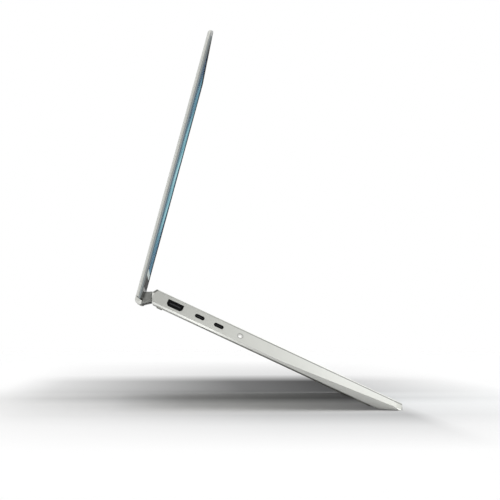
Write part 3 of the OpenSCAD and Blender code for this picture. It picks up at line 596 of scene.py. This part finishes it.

# %% [markdown]
# ## Marks, and painted light and shade
#
# A real shell isn't one even tone. Seams catch dust, and the light leaves marks that are painted here:
# a dark reflection along the deck's edge, blue light from the screen on the lid's frame, and shade and
# highlights on edges. All this could be modelled as hair-thin strips, but a mask in millimetres on a
# drawing board puts a tone exactly where it belongs and keeps the mesh clean.

# %% Masks
def axes(tree, matrix):
    parts = add(tree, "SeparateXYZ")
    join(tree, place(tree, matrix), parts.inputs[0])
    return parts.outputs


def band(tree, value, low, high, soft=0.06):
    """1 between two values and 0 outside them."""
    middle, half = (low + high) / 2, (high - low) / 2
    far = unsigned(tree, less(tree, value, middle))
    return spread(tree, far, 1.0, 0.0, half - soft, half + soft)


def beyond(tree, value, edge, soft=0.06):
    """0 below an edge and 1 above it."""
    return spread(tree, value, 0.0, 1.0, edge - soft, edge + soft)


def short_of(tree, value, edge, soft=0.06):
    """1 below an edge and 0 above it."""
    return spread(tree, value, 1.0, 0.0, edge - soft, edge + soft)


def distance(tree, dx, dy):
    return math_node(tree, "SQRT", math_node(tree, "ADD", times(tree, dx, dx), times(tree, dy, dy)))


print("masks ready")

# %% [markdown]
# ## Tints over a finish
#
# Many parts share one finish, so a mark on one of them needs a copy of its own. A tint then goes over
# the finish's own tones, like thinned paint over a primer, and the grain below stays.

# %% Tints
def own_finish(node, name):
    """The part's slot finish as a copy of its own, to be tinted in places."""
    material = FINISHES[slot_of[node]].copy()
    material.name = name
    nodes_of_frame[node].data.materials[0] = material
    return material.node_tree


def lay(tree, mask, over=None):
    """Lays another colour over a finish where the mask is 1. Returns the socket that takes a plain tone."""
    socket = tree.nodes["Principled BSDF"].inputs["Base Color"]
    under = socket.links[0].from_socket
    mix = add(tree, "Mix", data_type="RGBA")
    join(tree, mask, mix.inputs["Factor"])
    join(tree, under, mix.inputs[6])
    if over:
        join(tree, over, mix.inputs[7])
    join(tree, mix.outputs[2], socket)
    return mix.inputs[7]


def tint(tree, mask, colour):
    lay(tree, mask).default_value = tone(*colour)


print("tints ready")

# %% [markdown]
# ## Side walls
#
# Blasted metal takes its tone from what stands round it: the walls get a painted shade by the hinge
# and a painted highlight towards the front. Lamps could do that too, but they would also change the
# deck. So the painted tone follows the distance from the hinge.

# %% Painted shade and light along the side walls
WALL_FROM = HALF_W - 0.9
# strengths of the painted shade and light, and where they change, in millimetres forward of the hinge
WALL_PAINTED_SHADE, WALL_SHADE_FADE = 0.5, (15, 105)
WALL_PAINTED_LIGHT, WALL_LIGHT_RISE = 0.6, (55, 165)
WALL_LIGHT_LOSS, WALL_LIGHT_FALL = 0.35, (180, 245)
deck = own_finish("top_case", "deck_metal")
x, y, z = axes(deck, BASE)
side = unsigned(deck, x)
wall = beyond(deck, side, WALL_FROM)
forward = times(deck, y, -1.0)
# painted shade by the hinge, then a painted highlight towards the front that eases off near the nose
tint(deck, times(deck, wall, spread(deck, forward, WALL_PAINTED_SHADE, 0.0, *WALL_SHADE_FADE)), (166, 167, 162))
wall_painted_light = less(deck, spread(deck, forward, 0.0, WALL_PAINTED_LIGHT, *WALL_LIGHT_RISE),
                spread(deck, forward, 0.0, WALL_LIGHT_LOSS, *WALL_LIGHT_FALL))
tint(deck, times(deck, wall, wall_painted_light), (233, 234, 229))
print("walls from x", WALL_FROM, "mm")

# %% [markdown]
# ## Edge of the deck
#
# Where the deck turns down into the wall, the cutter has taken a fine chamfer off, and its dark
# reflection is painted as a line that grows towards the front. At the two front corners the dark
# reflection in the rounding is painted as a short band. They are too thin to be worth faces of their own.

# %% Painted dark reflection under the deck's edge and at the front corners
DECK_Z = 7.6
LINE = (DECK_Z - 1.2, DECK_Z - 0.45)
FAINT_LINE, LINE_RISE = 0.3, (40, 115)
EDGE_SIDE, EDGE_FRONT = 160, 240
CORNER_REFLECTION_SPAN, CORNER_REFLECTION_FROM = (165.5, 172.8), 241.5
outer = larger(deck, beyond(deck, side, EDGE_SIDE), beyond(deck, forward, EDGE_FRONT))
# painted dark reflection of the chamfer, fainter by the hinge
edge_dark_reflection = times(deck, outer, band(deck, z, *LINE, soft=0.15),
                  spread(deck, forward, FAINT_LINE, 1.0, *LINE_RISE))
tint(deck, edge_dark_reflection, (132, 133, 129))
# painted dark reflection in the rounding of the front corners
corner_dark_reflection = times(deck, band(deck, side, *CORNER_REFLECTION_SPAN, soft=0.4), beyond(deck, forward, CORNER_REFLECTION_FROM, soft=0.15))
tint(deck, corner_dark_reflection, (140, 141, 138))
print("line", LINE, "mm up")

# %% [markdown]
# ## Rear end of the walls
#
# At the hinge the wall ends in a slanted cut. Its rim lies in shade, and the short strip behind it
# catches the light from above. Both are bands measured square to the cut.

# %% Shade and light at the rear cut
CUT_Y = -2.2
CUT_LEAN = (-0.823, -0.568)       # square to the cut, pointing into the metal
CUT_RIM, CUT_REACH = (0.3, 1.5), (-4.5, 1.5)
STRIP, STRIP_TOP = (-1.4, 2.0), 3.6
inward = weighed(deck, less(deck, y, CUT_Y), CUT_LEAN[0], less(deck, z, DECK_Z), CUT_LEAN[1])
rear_shade = times(deck, wall, band(deck, inward, *CUT_RIM, soft=0.3), band(deck, y, *CUT_REACH, soft=1.0))
tint(deck, rear_shade, (104, 105, 101))
rear_strip = times(deck, wall, band(deck, y, *STRIP, soft=0.3), short_of(deck, z, STRIP_TOP, soft=0.5))
tint(deck, rear_strip, (226, 227, 222))
print("cut leans", round(math.degrees(math.atan2(-CUT_LEAN[1], -CUT_LEAN[0]))), "degrees")

# %% [markdown]
# ## Ring round the indicator, painted light on the lower edge of the base
#
# The indicator sits in a fine groove, drawn here as a ring that is stretched to the window's pill
# shape. The cover's slanted lower edge gets a painted highlight, as light bounced up from the paper would
# give it.

# %% Ring, and painted light on the lower edge
RING = (1.6, 2.1)
WINDOW_HALF, WINDOW_FLAT = 1.55, 0.7
PAINTED_LIGHT_EDGE = HALF_W - 12.0
lamp_low, lamp_high = span("indicator_window", BASE)
lamp_y = (lamp_low.y + lamp_high.y) / 2
from_lamp = unsigned(deck, less(deck, y, lamp_y))
along = larger(deck, less(deck, from_lamp, WINDOW_FLAT), 0.0)
ring = distance(deck, along, less(deck, z, lamp_high.z - WINDOW_HALF))
tint(deck, times(deck, wall, band(deck, ring, *RING, soft=0.12)), (170, 171, 167))
tree = own_finish("bottom_cover", "cover_metal")
x, y, z = axes(tree, BASE)
# painted highlight along the slanted lower edge of the cover
tint(tree, beyond(tree, unsigned(tree, x), PAINTED_LIGHT_EDGE, soft=1.5), (244, 245, 240))
print("indicator at y", round(lamp_y, 2), "mm, top", round(lamp_high.z, 2))

# %% [markdown]
# ## Seams and edges of the lid
#
# The lid is a metal shell, a moulded frame and a plastic lip that meet at one slanted seam. The frame's
# side gets the screen's blue light painted on near the glass and goes grey towards both ends, and the
# shell's rounding gets a painted highlight. The seam crosses three parts, so one mask on the lid's
# board draws it on all three.

# %% The slanted seam, painted screen light on the frame, a painted highlight on the shell
SEAM = (2.9, 12.9)
SEAM_LEAN = 2.2 / 4.7
SEAM_WIDTH = (-0.55, 0.3)
SCREEN_LIGHT_SPAN = (8.2, 10.4)
SCREEN_LIGHT_TOP, GREY_TOP = 10.3, 9.4
GREY_ENDS = (-206.0, -30.0)
ROUNDING = (11.7, 12.8)


def past_seam(tree, y, z):
    """How far a point lies behind the seam between shell and lip, in millimetres along the lid."""
    return less(tree, weighed(tree, y, 1.0, z, SEAM_LEAN), SEAM[0] + SEAM[1] * SEAM_LEAN)


def screen_light_edge(tree, x, y, z):
    """Painted blue light of the screen near the glass on the frame's outer side, grey at its ends, and a line
    where the shell begins.
    """
    # painted blue light from the screen, strongest near the glass
    near_glass = ramp(tree, spread(tree, z, 0.0, 1.0, *SCREEN_LIGHT_SPAN), [
        (0.0, tone(74, 100, 112)), (0.3, tone(86, 112, 122)), (0.5, tone(146, 158, 164)),
        (1.0, tone(176, 178, 175))])
    outer = beyond(tree, unsigned(tree, x), HALF_W - 1.5, soft=0.2)
    low = times(tree, outer, short_of(tree, z, SCREEN_LIGHT_TOP, soft=0.1))
    lay(tree, low, near_glass)
    ends = less(tree, 1.0, band(tree, y, *GREY_ENDS, soft=6.0))
    tint(tree, times(tree, low, ends, short_of(tree, z, GREY_TOP, soft=0.4)), (112, 117, 116))
    tint(tree, band(tree, z, SCREEN_LIGHT_TOP - 0.1, SCREEN_LIGHT_TOP + 0.5, soft=0.15), (132, 133, 130))


def rounding_highlight(tree, x, y, z):
    outer = beyond(tree, unsigned(tree, x), HALF_W - 1.6)
    # painted highlight on the shell's rounding
    tint(tree, times(tree, outer, band(tree, z, *ROUNDING, soft=0.2)), (232, 233, 228))


for node, name, extra in (("lid_shell", "lid_metal", rounding_highlight), ("lid_frame", "lid_rim", screen_light_edge),
                          ("lid_lip", "lip_satin", None)):
    tree = own_finish(node, name)
    x, y, z = axes(tree, LID)
    tint(tree, band(tree, past_seam(tree, y, z), *SEAM_WIDTH, soft=0.12), (88, 89, 87))
    if extra:
        extra(tree, x, y, z)
print("seam leans", round(math.degrees(math.atan(SEAM_LEAN)), 1), "degrees")

# %% [markdown]
# ## Camera behind the glass
#
# The small camera shows as a ring and a bluish lens through a clear spot in the print, with its light
# beside it. A hole in the print would show a dark box, so the print itself carries them.

# %% Lens and light
CAMERA_Y = span("camera_module", LID)[0].y + 1.6
LENS_RING, LENS_R = (1.15, 1.55), 0.7
LIGHT_X, LIGHT_R = 7.0, 0.45
tree = cover_glass.node_tree
x, y, z = axes(tree, LID)
up = less(tree, y, CAMERA_Y)
lens = distance(tree, x, up)
tint(tree, band(tree, lens, *LENS_RING, soft=0.08), (62, 64, 68))
tint(tree, short_of(tree, lens, LENS_R, soft=0.15), (24, 28, 52))
light = distance(tree, less(tree, x, LIGHT_X), up)
tint(tree, short_of(tree, light, LIGHT_R, soft=0.1), (70, 74, 70))
print("camera at y", round(CAMERA_Y, 1), "mm")

# %% [markdown]
# ## Rim of the touchpad, shade on the hinge covers
#
# The pad's edge is cut at a slant that shines, and the hinge covers go dark where they run in under
# the deck. A real bevel and real shadow would do it, but both are under half a millimetre wide.

# %% Rim and shade
PAD_RIM = Vector((0.45, 0.45, 0))
UNDER_DECK, COVER_FRONT = (5.2, 9.2), 3.6
tree = own_finish("touchpad", "pad_surface")
pad_low, pad_high = span("touchpad", BASE)
on_face = inside(tree, place(tree, BASE), pad_low + PAD_RIM, pad_high - PAD_RIM)
tint(tree, less(tree, 1.0, on_face), (236, 237, 233))
for node in ("hinge_cover_left", "hinge_cover_right"):
    tree = own_finish(node, node + "_grey")
    x, y, z = axes(tree, LID)
    shade = times(tree, band(tree, z, *UNDER_DECK, soft=0.7), short_of(tree, y, COVER_FRONT, soft=1.2))
    tint(tree, shade, (84, 85, 82))
print("pad", [round(v, 1) for v in (pad_high - pad_low).xy], "mm")

# %% [markdown]
# ## Rounded outlines
#
# Key caps and the seal round the glass follow a rectangle with round corners. One could bevel a box
# for each, but a stack of outlines with the same number of points can simply be stitched from one to
# the next, and every height and inset stays a plain number.

# %% Outlines and stitching
CORNER_STEPS = 6


def outline(low, high, inset, radius, z):
    """Points of a rectangle with round corners, inset by a distance, all at one height."""
    radius = max(radius - inset, 0.05)
    points = []
    for corner, (sx, sy) in enumerate(((1, 1), (-1, 1), (-1, -1), (1, -1))):
        cx = (high[0] - inset - radius) if sx > 0 else (low[0] + inset + radius)
        cy = (high[1] - inset - radius) if sy > 0 else (low[1] + inset + radius)
        for step in range(CORNER_STEPS + 1):
            turn = math.radians(90 * corner + 90 * step / CORNER_STEPS)
            points.append((cx + radius * math.cos(turn), cy + radius * math.sin(turn), z))
    return points


def stitch(mesh, loops, close=True):
    """Adds a skin over outlines to a bmesh. Closed at both ends, or round like a ring."""
    rings = [[mesh.verts.new(p) for p in loop] for loop in loops]
    count = len(rings[0])
    pairs = list(zip(rings, rings[1:]))
    if not close:
        pairs.append((rings[-1], rings[0]))
    for first, second in pairs:
        for i in range(count):
            j = (i + 1) % count
            mesh.faces.new((first[i], first[j], second[j], second[i]))
    if close:
        mesh.faces.new(reversed(rings[0]))
        mesh.faces.new(rings[-1])


print((CORNER_STEPS + 1) * 4, "points round an outline")

# %% [markdown]
# ## Making a piece
#
# Each new piece is a mesh in millimetres on a drawing board. It rides on a body of the frame, so that
# it moves with the joint, and it takes the finish it is given. One function does all that, so no piece
# can be left without a body.

# %% A piece that rides on a body
def piece(name, build, board_used, body, material, smooth=40, stands_for=None):
    """A new piece from a bmesh in millimetres on a drawing board, riding on a body."""
    work = bmesh.new()
    build(work)
    bmesh.ops.recalc_face_normals(work, faces=work.faces)
    mesh = bpy.data.meshes.new(name)
    work.to_mesh(mesh)
    work.free()
    mesh.transform(board_used)
    mesh.materials.append(material)
    made = linked(name, mesh)
    if smooth:
        mesh.shade_smooth()
        mesh.set_sharp_from_angle(angle=math.radians(smooth))
    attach(made, body)
    if stands_for:
        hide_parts(stands_for)
    return made


body_of = {node: body for body, members in frame["record"]["behaviour"]["bodies"].items() for node in members}
print("lid rides on", body_of["lid_shell"])

# %% [markdown]
# ## Key caps
#
# A real cap has a soft edge round its top and a face that dips a little for the finger, and it is
# hollow below. The plain caps of the frame have sharp edges, so new ones take their places. Their
# places and sizes could be typed in, but it is safer to measure them on the frame, cap by cap.

# %% Find every key
KEY_ROWS = ("keys_function", "keys_number", "keys_upper", "keys_home", "keys_lower", "keys_modifier",
            "space_bar", "keys_arrow", "power_key")


def islands(node, matrix):
    """Boxes of a part's separate solids on a drawing board, from left to right."""
    work = bmesh.new()
    work.from_mesh(nodes_of_frame[node].data)
    work.transform(matrix.inverted())
    bmesh.ops.remove_doubles(work, verts=work.verts, dist=0.001)
    left, boxes = set(work.verts), []
    while left:
        group, edge = set(), [left.pop()]
        while edge:
            vert = edge.pop()
            group.add(vert)
            for other in (e.other_vert(vert) for e in vert.link_edges):
                if other in left:
                    left.discard(other)
                    edge.append(other)
        points = [v.co.copy() for v in group]
        boxes.append((Vector(map(min, zip(*points))), Vector(map(max, zip(*points)))))
    work.free()
    return sorted(boxes, key=lambda b: (round(b[0].x + b[1].x), b[0].y))


def holds(outer, inner):
    """True if one box covers another one on the board."""
    return (outer is not inner and outer[0].x <= inner[0].x and outer[0].y <= inner[0].y
            and outer[1].x >= inner[1].x and outer[1].y >= inner[1].y)


def merged(boxes):
    """Boxes that lie inside another one belong to the same cap."""
    return [b for b in boxes if not any(holds(other, b) for other in boxes)]


keys_of = {row: merged(islands(row, BASE)) for row in KEY_ROWS}
print({row: len(boxes) for row, boxes in keys_of.items()})

# %% [markdown]
# ## Profile of a cap
#
# The profile is a list of insets and heights: up inside the hollow, down to the foot, up the skirt,
# round the edge and into the dish. Sculpting or a subdivision surface could shape one cap well, but a
# profile shapes all of them alike, whatever their size.

# %% Build the caps
CAP_RADIUS = 1.3
RIM = 0.9
HOLLOW = 0.9
# inset, and height above the foot or depth below the top
SKIRT = [(RIM, HOLLOW), (RIM, 0), (0.06, 0), (0, 0.08)]
FACE = [(0, 0.4), (0.05, 0.2), (0.17, 0.06), (0.36, 0), (1.6, 0.03), (3.0, 0.06)]


def build_caps(boxes):
    def build(mesh):
        for low, high in boxes:
            rings = [(inset, low.z + up) for inset, up in SKIRT]
            rings += [(inset, high.z - down) for inset, down in FACE]
            stitch(mesh, [outline(low, high, inset, CAP_RADIUS, z) for inset, z in rings])
    return build


for row in KEY_ROWS:
    piece(row + "_caps", build_caps(keys_of[row]), BASE, body_of[row],
          FINISHES[slot_of[row]], stands_for=row)
print(sum(len(boxes) for boxes in keys_of.values()), "caps")

# %% [markdown]
# ## Key legends
#
# The letters are printed on the caps. They could be drawn in the material, but real letter shapes are
# outlines, so each is set as text, turned into a mesh and laid on its cap. All legends of one row
# become one piece, which goes down with the row. Symbols that belong to a maker are left out.

# %% Set the legends
LEGENDS = {
    "keys_function": ["esc"] + ["F%d" % n for n in range(1, 13)] + ["del"],
    "keys_number": list("`1234567890-=") + ["back"],
    "keys_upper": ["tab"] + list("QWERTYUIOP[]") + ["\\"],
    "keys_home": ["caps"] + list("ASDFGHJKL;'") + ["enter"],
    "keys_lower": ["shift"] + list("ZXCVBNM,./") + ["shift"],
    "keys_modifier": ["ctrl", "fn", "", "alt", "alt", "ctrl"],
}
LETTER, WORD = 4.4, 3.0
INK_DEPTH = 0.05
ink = finish("legend_ink", (104, 105, 103), (94, 95, 93), (0.5, 0.6), 0.0, 9000, 0.004)


def letters(text, size):
    """A flat text as a mesh, in millimetres round its own middle."""
    curve = bpy.data.curves.new("legend", "FONT")
    curve.body = text
    curve.size = size
    curve.align_x = "CENTER"
    curve.align_y = "CENTER"
    curve.extrude = INK_DEPTH
    curve.resolution_u = 3
    source = linked("legend", curve)
    bpy.context.view_layer.update()
    mesh = bpy.data.meshes.new_from_object(source.evaluated_get(bpy.context.evaluated_depsgraph_get()))
    bpy.data.objects.remove(source)
    bpy.data.curves.remove(curve)
    return mesh


def build_legends(boxes, texts, top):
    def build(mesh):
        for (low, high), text in zip(boxes, texts):
            if not text:
                continue
            flat = letters(text, LETTER if len(text) == 1 else WORD)
            middle = (low + high) / 2
            flat.transform(Matrix.Translation((middle.x, middle.y, top)))
            mesh.from_mesh(flat)
            bpy.data.meshes.remove(flat)
        bmesh.ops.remove_doubles(mesh, verts=mesh.verts, dist=0.002)
    return build


DISH = 0.075
CAP_FACE = keys_of["keys_home"][0][1].z - DISH
for row, texts in LEGENDS.items():
    assert len(texts) == len(keys_of[row]), row
    piece(row + "_legends", build_legends(keys_of[row], texts, CAP_FACE), BASE, body_of[row],
          ink, smooth=0)
print(sum(len(t) for t in LEGENDS.values()), "legends")

# %% [markdown]
# ## Arrows and the power sign
#
# Four keys carry an arrow and one the power sign, an open ring with a stroke. Both are common signs.
# A font may lack them, so they are drawn as flat shapes with a little thickness.

# %% Draw the signs
ARROW = [(1.3, 0), (-0.9, 1.25), (-0.9, -1.25)]
RING_OUT, RING_IN = 1.75, 1.4
RING_GAP, RING_STEPS = 38, 24
STROKE_HALF, STROKE = 0.18, (0.2, 2.0)


def prism(mesh, points, z0, z1):
    """A flat shape with a little thickness."""
    low = [mesh.verts.new((px, py, z0)) for px, py in points]
    high = [mesh.verts.new((px, py, z1)) for px, py in points]
    count = len(points)
    for i in range(count):
        j = (i + 1) % count
        mesh.faces.new((low[i], low[j], high[j], high[i]))
    mesh.faces.new(high)
    mesh.faces.new(list(reversed(low)))


def build_arrows(mesh):
    boxes = keys_of["keys_arrow"]
    left, right = min(boxes, key=lambda b: b[0].x), max(boxes, key=lambda b: b[0].x)
    upper = max(boxes, key=lambda b: b[0].y)
    for box in boxes:
        centre = (box[0] + box[1]) / 2
        turn = 180 if box is left else 0 if box is right else 90 if box is upper else -90
        c, s = math.cos(math.radians(turn)), math.sin(math.radians(turn))
        prism(mesh, [(centre.x + px * c - py * s, centre.y + px * s + py * c) for px, py in ARROW],
              CAP_FACE - INK_DEPTH, CAP_FACE + INK_DEPTH)


def build_power(mesh):
    low, high = keys_of["power_key"][0]
    centre = (low + high) / 2
    whole = 360 - 2 * RING_GAP
    turns = [math.radians(90 + RING_GAP + whole * i / RING_STEPS) for i in range(RING_STEPS + 1)]
    arc = [(RING_OUT * math.cos(t), RING_OUT * math.sin(t)) for t in turns]
    arc += [(RING_IN * math.cos(t), RING_IN * math.sin(t)) for t in reversed(turns)]
    stroke = [(-STROKE_HALF, STROKE[0]), (STROKE_HALF, STROKE[0]), (STROKE_HALF, STROKE[1]),
              (-STROKE_HALF, STROKE[1])]
    face = high.z - DISH
    for shape in (arc, stroke):
        prism(mesh, [(centre.x + px, centre.y + py) for px, py in shape], face - INK_DEPTH, face + INK_DEPTH)


piece("arrow_legends", build_arrows, BASE, body_of["keys_arrow"], ink, smooth=0)
piece("power_sign", build_power, BASE, body_of["power_key"], ink, smooth=0)
print("arrows and power sign laid on their caps")

# %% [markdown]
# ## Soft edge of the lid's frame
#
# The frame is moulded, so its outer front edge is round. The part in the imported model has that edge
# sharp. A bevel needs only the right edges picked: those that lie in the frame's front face, on its
# outer outline. So the new piece starts from the same outlines, and only that one edge changes.

# %% Round the frame's outer edge
FRAME_FACE = span("lid_frame", LID)[0].z
OUTER_CORNER = 12.0
LID_FRONT = -241.0
EDGE_ROUND, EDGE_STEPS = 1.25, 5


def on_outline(point):
    """True on the lid's outer side faces, its top edge and the two arcs between them."""
    dx, dy = abs(point.x) - (HALF_W - OUTER_CORNER), (LID_FRONT + OUTER_CORNER) - point.y
    if dx > 0 and dy > 0:
        return abs(math.hypot(dx, dy) - OUTER_CORNER) < 0.1
    return abs(abs(point.x) - HALF_W) < 0.03 or abs(point.y - LID_FRONT) < 0.03


def build_frame(mesh):
    mesh.from_mesh(nodes_of_frame["lid_frame"].data)
    mesh.transform(LID.inverted())
    bmesh.ops.remove_doubles(mesh, verts=mesh.verts, dist=0.002)
    bmesh.ops.dissolve_limit(mesh, angle_limit=math.radians(0.5), verts=mesh.verts, edges=mesh.edges)
    picked = [e for e in mesh.edges
              if all(abs(v.co.z - FRAME_FACE) < 0.01 and on_outline(v.co) for v in e.verts)]
    bmesh.ops.bevel(mesh, geom=picked, offset=EDGE_ROUND, segments=EDGE_STEPS, profile=0.5, affect="EDGES",
                    clamp_overlap=False)
    bmesh.ops.triangulate(mesh, faces=[f for f in mesh.faces if len(f.verts) > 4])
    print("rounded", len(picked), "edges of the frame")


piece("lid_rim_soft", build_frame, LID, body_of["lid_frame"],
      nodes_of_frame["lid_frame"].data.materials[0], smooth=30, stands_for="lid_frame")

# %% [markdown]
# ## Seal round the glass
#
# Between the glass and the frame runs a thin soft seal that keeps dust out. It lies just below the
# frame's face, so it hides nothing of the picture. A bevelled curve would do, but a few stitched
# outlines give the same soft bead with fewer steps.

# %% Make the seal
glass_low, glass_high = span("screen_glass", LID)
GLASS_CORNER = 9.7
# inset, depth below the frame's face
BEAD = [(-0.09, 0.3), (-0.09, 0.12), (0.1, 0.05), (0.4, 0.08), (0.5, 0.22)]


def build_seal(mesh):
    rings = [outline(glass_low, glass_high, inset, GLASS_CORNER, FRAME_FACE + depth) for inset, depth in BEAD]
    stitch(mesh, rings, close=False)


seal_rubber = finish("seal_rubber", (112, 120, 124), (102, 110, 114), (0.6, 0.75), 0.0, 3000, 0.01)
piece("glass_seal", build_seal, LID, body_of["lid_shell"], seal_rubber)
print("seal round", [round(v, 1) for v in (glass_high - glass_low).xy], "mm")

# %% [markdown]
# ## Plugs on the hinge's axis
#
# A small black plug closes the hole of each hinge pin. It is a short rod with a rounded end. A cylinder
# with a bevel would do, but four rings of points are just as short and keep the end smooth.

# %% Make the plugs
PLUG_AT = (4.95, 7.15)
PLUG_STEPS = 20
# how far in from the side, radius
PLUG_RINGS = ((9.0, 1.0), (0.4, 1.0), (0.2, 0.85), (0.15, 0.5))


def circle(x, radius):
    turns = [2 * math.pi * i / PLUG_STEPS for i in range(PLUG_STEPS)]
    return [(x, PLUG_AT[0] + radius * math.cos(t), PLUG_AT[1] + radius * math.sin(t)) for t in turns]


def build_plug(sign):
    def build(mesh):
        stitch(mesh, [circle(sign * (HALF_W - x_in), radius) for x_in, radius in PLUG_RINGS])
    return build


plug_black = finish("plug_black", (18, 18, 19), (12, 12, 13), (0.7, 0.8), Specular_IOR_Level=0.1)
for name, sign in (("pivot_plug_left", -1), ("pivot_plug_right", 1)):
    piece(name, build_plug(sign), LID, body_of["lid_lip"], plug_black)
print("plugs at", PLUG_AT)

# %% [markdown]
# ## Ends of the lip
#
# The lip behind the hinge is what the open computer stands on. At each end it has a moulded cap that
# is a little thicker than the lip itself, with its edges rounded. Like a key cap, it is stitched from
# outlines, but these lie across the lip instead of flat.

# %% Make the end caps
LIP_C, LIP_R = (5.35, 8.7), 4.2
ARC_FROM, ARC_SWEEP, ARC_STEPS = 84, 96, 8
# how far in from the side, how much smaller
SLICES = ((10.6, 0.45), (10.2, 0.1), (9.9, 0), (0.45, 0), (0.15, 0.12), (0.02, 0.45))


def lip_section():
    """Points round the end of the lip, as (y, z) on the lid's board."""
    shape = [(5.8, 6.75), (SEAM[0] + 0.15, 12.78)]
    for step in range(ARC_STEPS + 1):
        turn = math.radians(ARC_FROM - ARC_SWEEP * step / ARC_STEPS)
        shape.append((LIP_C[0] + (LIP_R - 0.05) * math.cos(turn), LIP_C[1] + (LIP_R - 0.05) * math.sin(turn)))
    return shape + [(9.1, 6.95), (8.6, 6.75)]


def build_end(sign):
    def build(mesh):
        shape = [Vector(point) for point in lip_section()]
        middle = sum(shape, Vector((0, 0))) / len(shape)
        loops = []
        for x_in, shrink in SLICES:
            moved = [middle + (p - middle) * (1 - shrink / (p - middle).length) for p in shape]
            loops.append([(sign * (HALF_W - x_in), p.x, p.y) for p in moved])
        stitch(mesh, loops)
    return build


end_plastic = finish("end_plastic", (230, 231, 226), (224, 225, 220), (0.45, 0.52), 0.0, 7000)
for name, sign in (("lip_end_left", -1), ("lip_end_right", 1)):
    piece(name, build_end(sign), LID, body_of["lid_lip"], end_plastic)
print("end caps 10 mm wide")

# %% [markdown]
# ## Shade on the paper
#
# The computer stands level on its feet and its lip, but the camera is rolled, and it sees the base
# hang nose-down over a soft shadow. One level floor would run across that view at a slant. So there are
# two sheets, each seen from above only. The second one is level in the rolled view and touches the
# front edge. Its broad shadow would need a ceiling full of lamps, so a soft shade is brushed on it.

# %% Brush a shade along and across the sheet
# metres behind the front edge or to the right, and darkness
LENGTHWISE = [(-0.18, 0), (-0.12, 0.14), (-0.026, 0.35), (-0.014, 0.42), (0.004, 0.95), (0.12, 0.83),
              (0.24, 0.52), (0.33, 0.28), (0.39, 0)]
CROSSWISE = [(-0.62, 0), (-0.38, 0.22), (-0.24, 0.48), (-0.05, 0.36), (0.02, 0.62), (0.06, 0.8), (0.13, 0.72),
             (0.168, 0.8), (0.21, 0.97), (0.5, 0.97), (0.74, 0.27), (1.5, 0)]


def brush(tree, metres, stops):
    """Darkness along a distance, from stops in metres."""
    start, end = stops[0][0], stops[-1][0]
    return ramp(tree, spread(tree, metres, 0, 1, start, end),
                [((at - start) / (end - start), grey(dark)) for at, dark in stops])


def brushed_shade(tree, origin):
    """How white the sheet stays under the computer."""
    at = place(tree)
    downhill = Vector((0, math.cos(ROLL), -math.sin(ROLL)))
    along = add(tree, "VectorMath", operation="DOT_PRODUCT", i1=downhill)
    join(tree, at, along.inputs[0])
    behind_front = less(tree, along.outputs["Value"], Vector(origin).dot(downhill))
    across = add(tree, "SeparateXYZ")
    join(tree, at, across.inputs[0])
    dark = times(tree, brush(tree, behind_front, LENGTHWISE), brush(tree, across.outputs["X"], CROSSWISE))
    return less(tree, 1.0, dark)


print(len(LENGTHWISE) + len(CROSSWISE), "stops of shade")

# %% [markdown]
# ## Floor
#
# The level sheet lies under the feet for every other view, and this camera looks at it from just
# below, where it can't be seen. Both sheets are plain white paper that fades out far away. Their own
# faint light, seen by the camera alone, lifts the paper to white without lighting the metal.

# %% Lay the floors
PAPER = 0.93
LIFT = 0.165
SHEET = 12.0
FADE = (1.2, 2.6)


def paper_finish(name, shaded, origin):
    material, tree, paper = blank(name)
    fill(tree, paper, Base_Color=grey(PAPER), Roughness=1.0, Specular_IOR_Level=0.0, Emission_Color=WHITE)
    lift = spread(tree, add(tree, "LightPath").outputs["Is Camera Ray"], 0.0, LIFT)
    if shaded:
        white_left = brushed_shade(tree, origin)
        lift = times(tree, lift, white_left)
        fill(tree, paper, Base_Color=ramp(tree, white_left, [(0, grey(0)), (1, grey(PAPER))]))
    fill(tree, paper, Emission_Strength=lift)
    # the sheet fades out far from the computer, and can't be seen from below
    far = add(tree, "VectorMath", operation="LENGTH")
    join(tree, place(tree), far.inputs[0])
    gone = larger(tree, spread(tree, far.outputs["Value"], 0.0, 1.0, *FADE),
                  add(tree, "NewGeometry").outputs["Backfacing"])
    sheet_or_air = mixed(tree, gone, paper.outputs[0], add(tree, "BsdfTransparent").outputs[0])
    join(tree, sheet_or_air, tree.nodes["Material Output"].inputs["Surface"])
    return material


def floor(name, origin, slope, seen_only):
    mesh = bpy.data.meshes.new(name)
    half = SHEET / 2
    square = [(-half, -half, 0), (half, -half, 0), (half, half, 0), (-half, half, 0)]
    mesh.from_pydata(square, [], [(0, 1, 2, 3)])
    mesh.transform(Matrix.Translation(origin) @ Matrix.Rotation(slope, 4, "X"))
    mesh.materials.append(paper_finish(name, not seen_only, origin))
    sheet = linked(name, mesh)
    if seen_only:
        sheet.visible_diffuse = sheet.visible_glossy = sheet.visible_transmission = False
        sheet.visible_shadow = False
    return sheet


front_face = min((v.co for v in nodes_of_frame["top_case"].data.vertices),
                 key=lambda p: p.z * math.cos(ROLL) + p.y * math.sin(ROLL))
sheets = [floor("level_floor", (0, 0, 0), 0.0, True),
          floor("rolled_floor", (0, front_face.y, front_face.z - 0.0002), -ROLL, False)]
print("front edge at", [round(v, 4) for v in front_face])

# %% [markdown]
# ## Keep the panels off the paper
#
# The two small panels would leave a bright patch with an edge on the sheets. A real studio would hang a
# black card in between. Here light linking does the card's work: the sheets are left out of what the
# panels light.

# %% Link the panels to the computer alone
unlit = bpy.data.collections.new("paper")
for sheet in sheets:
    unlit.objects.link(sheet)
for entry in unlit.collection_objects:
    entry.light_linking.link_state = "EXCLUDE"
for small_panel in (front_panel, low_panel):
    small_panel.light_linking.receiver_collection = unlit
print("sheets left out:", [sheet.name for sheet in sheets])
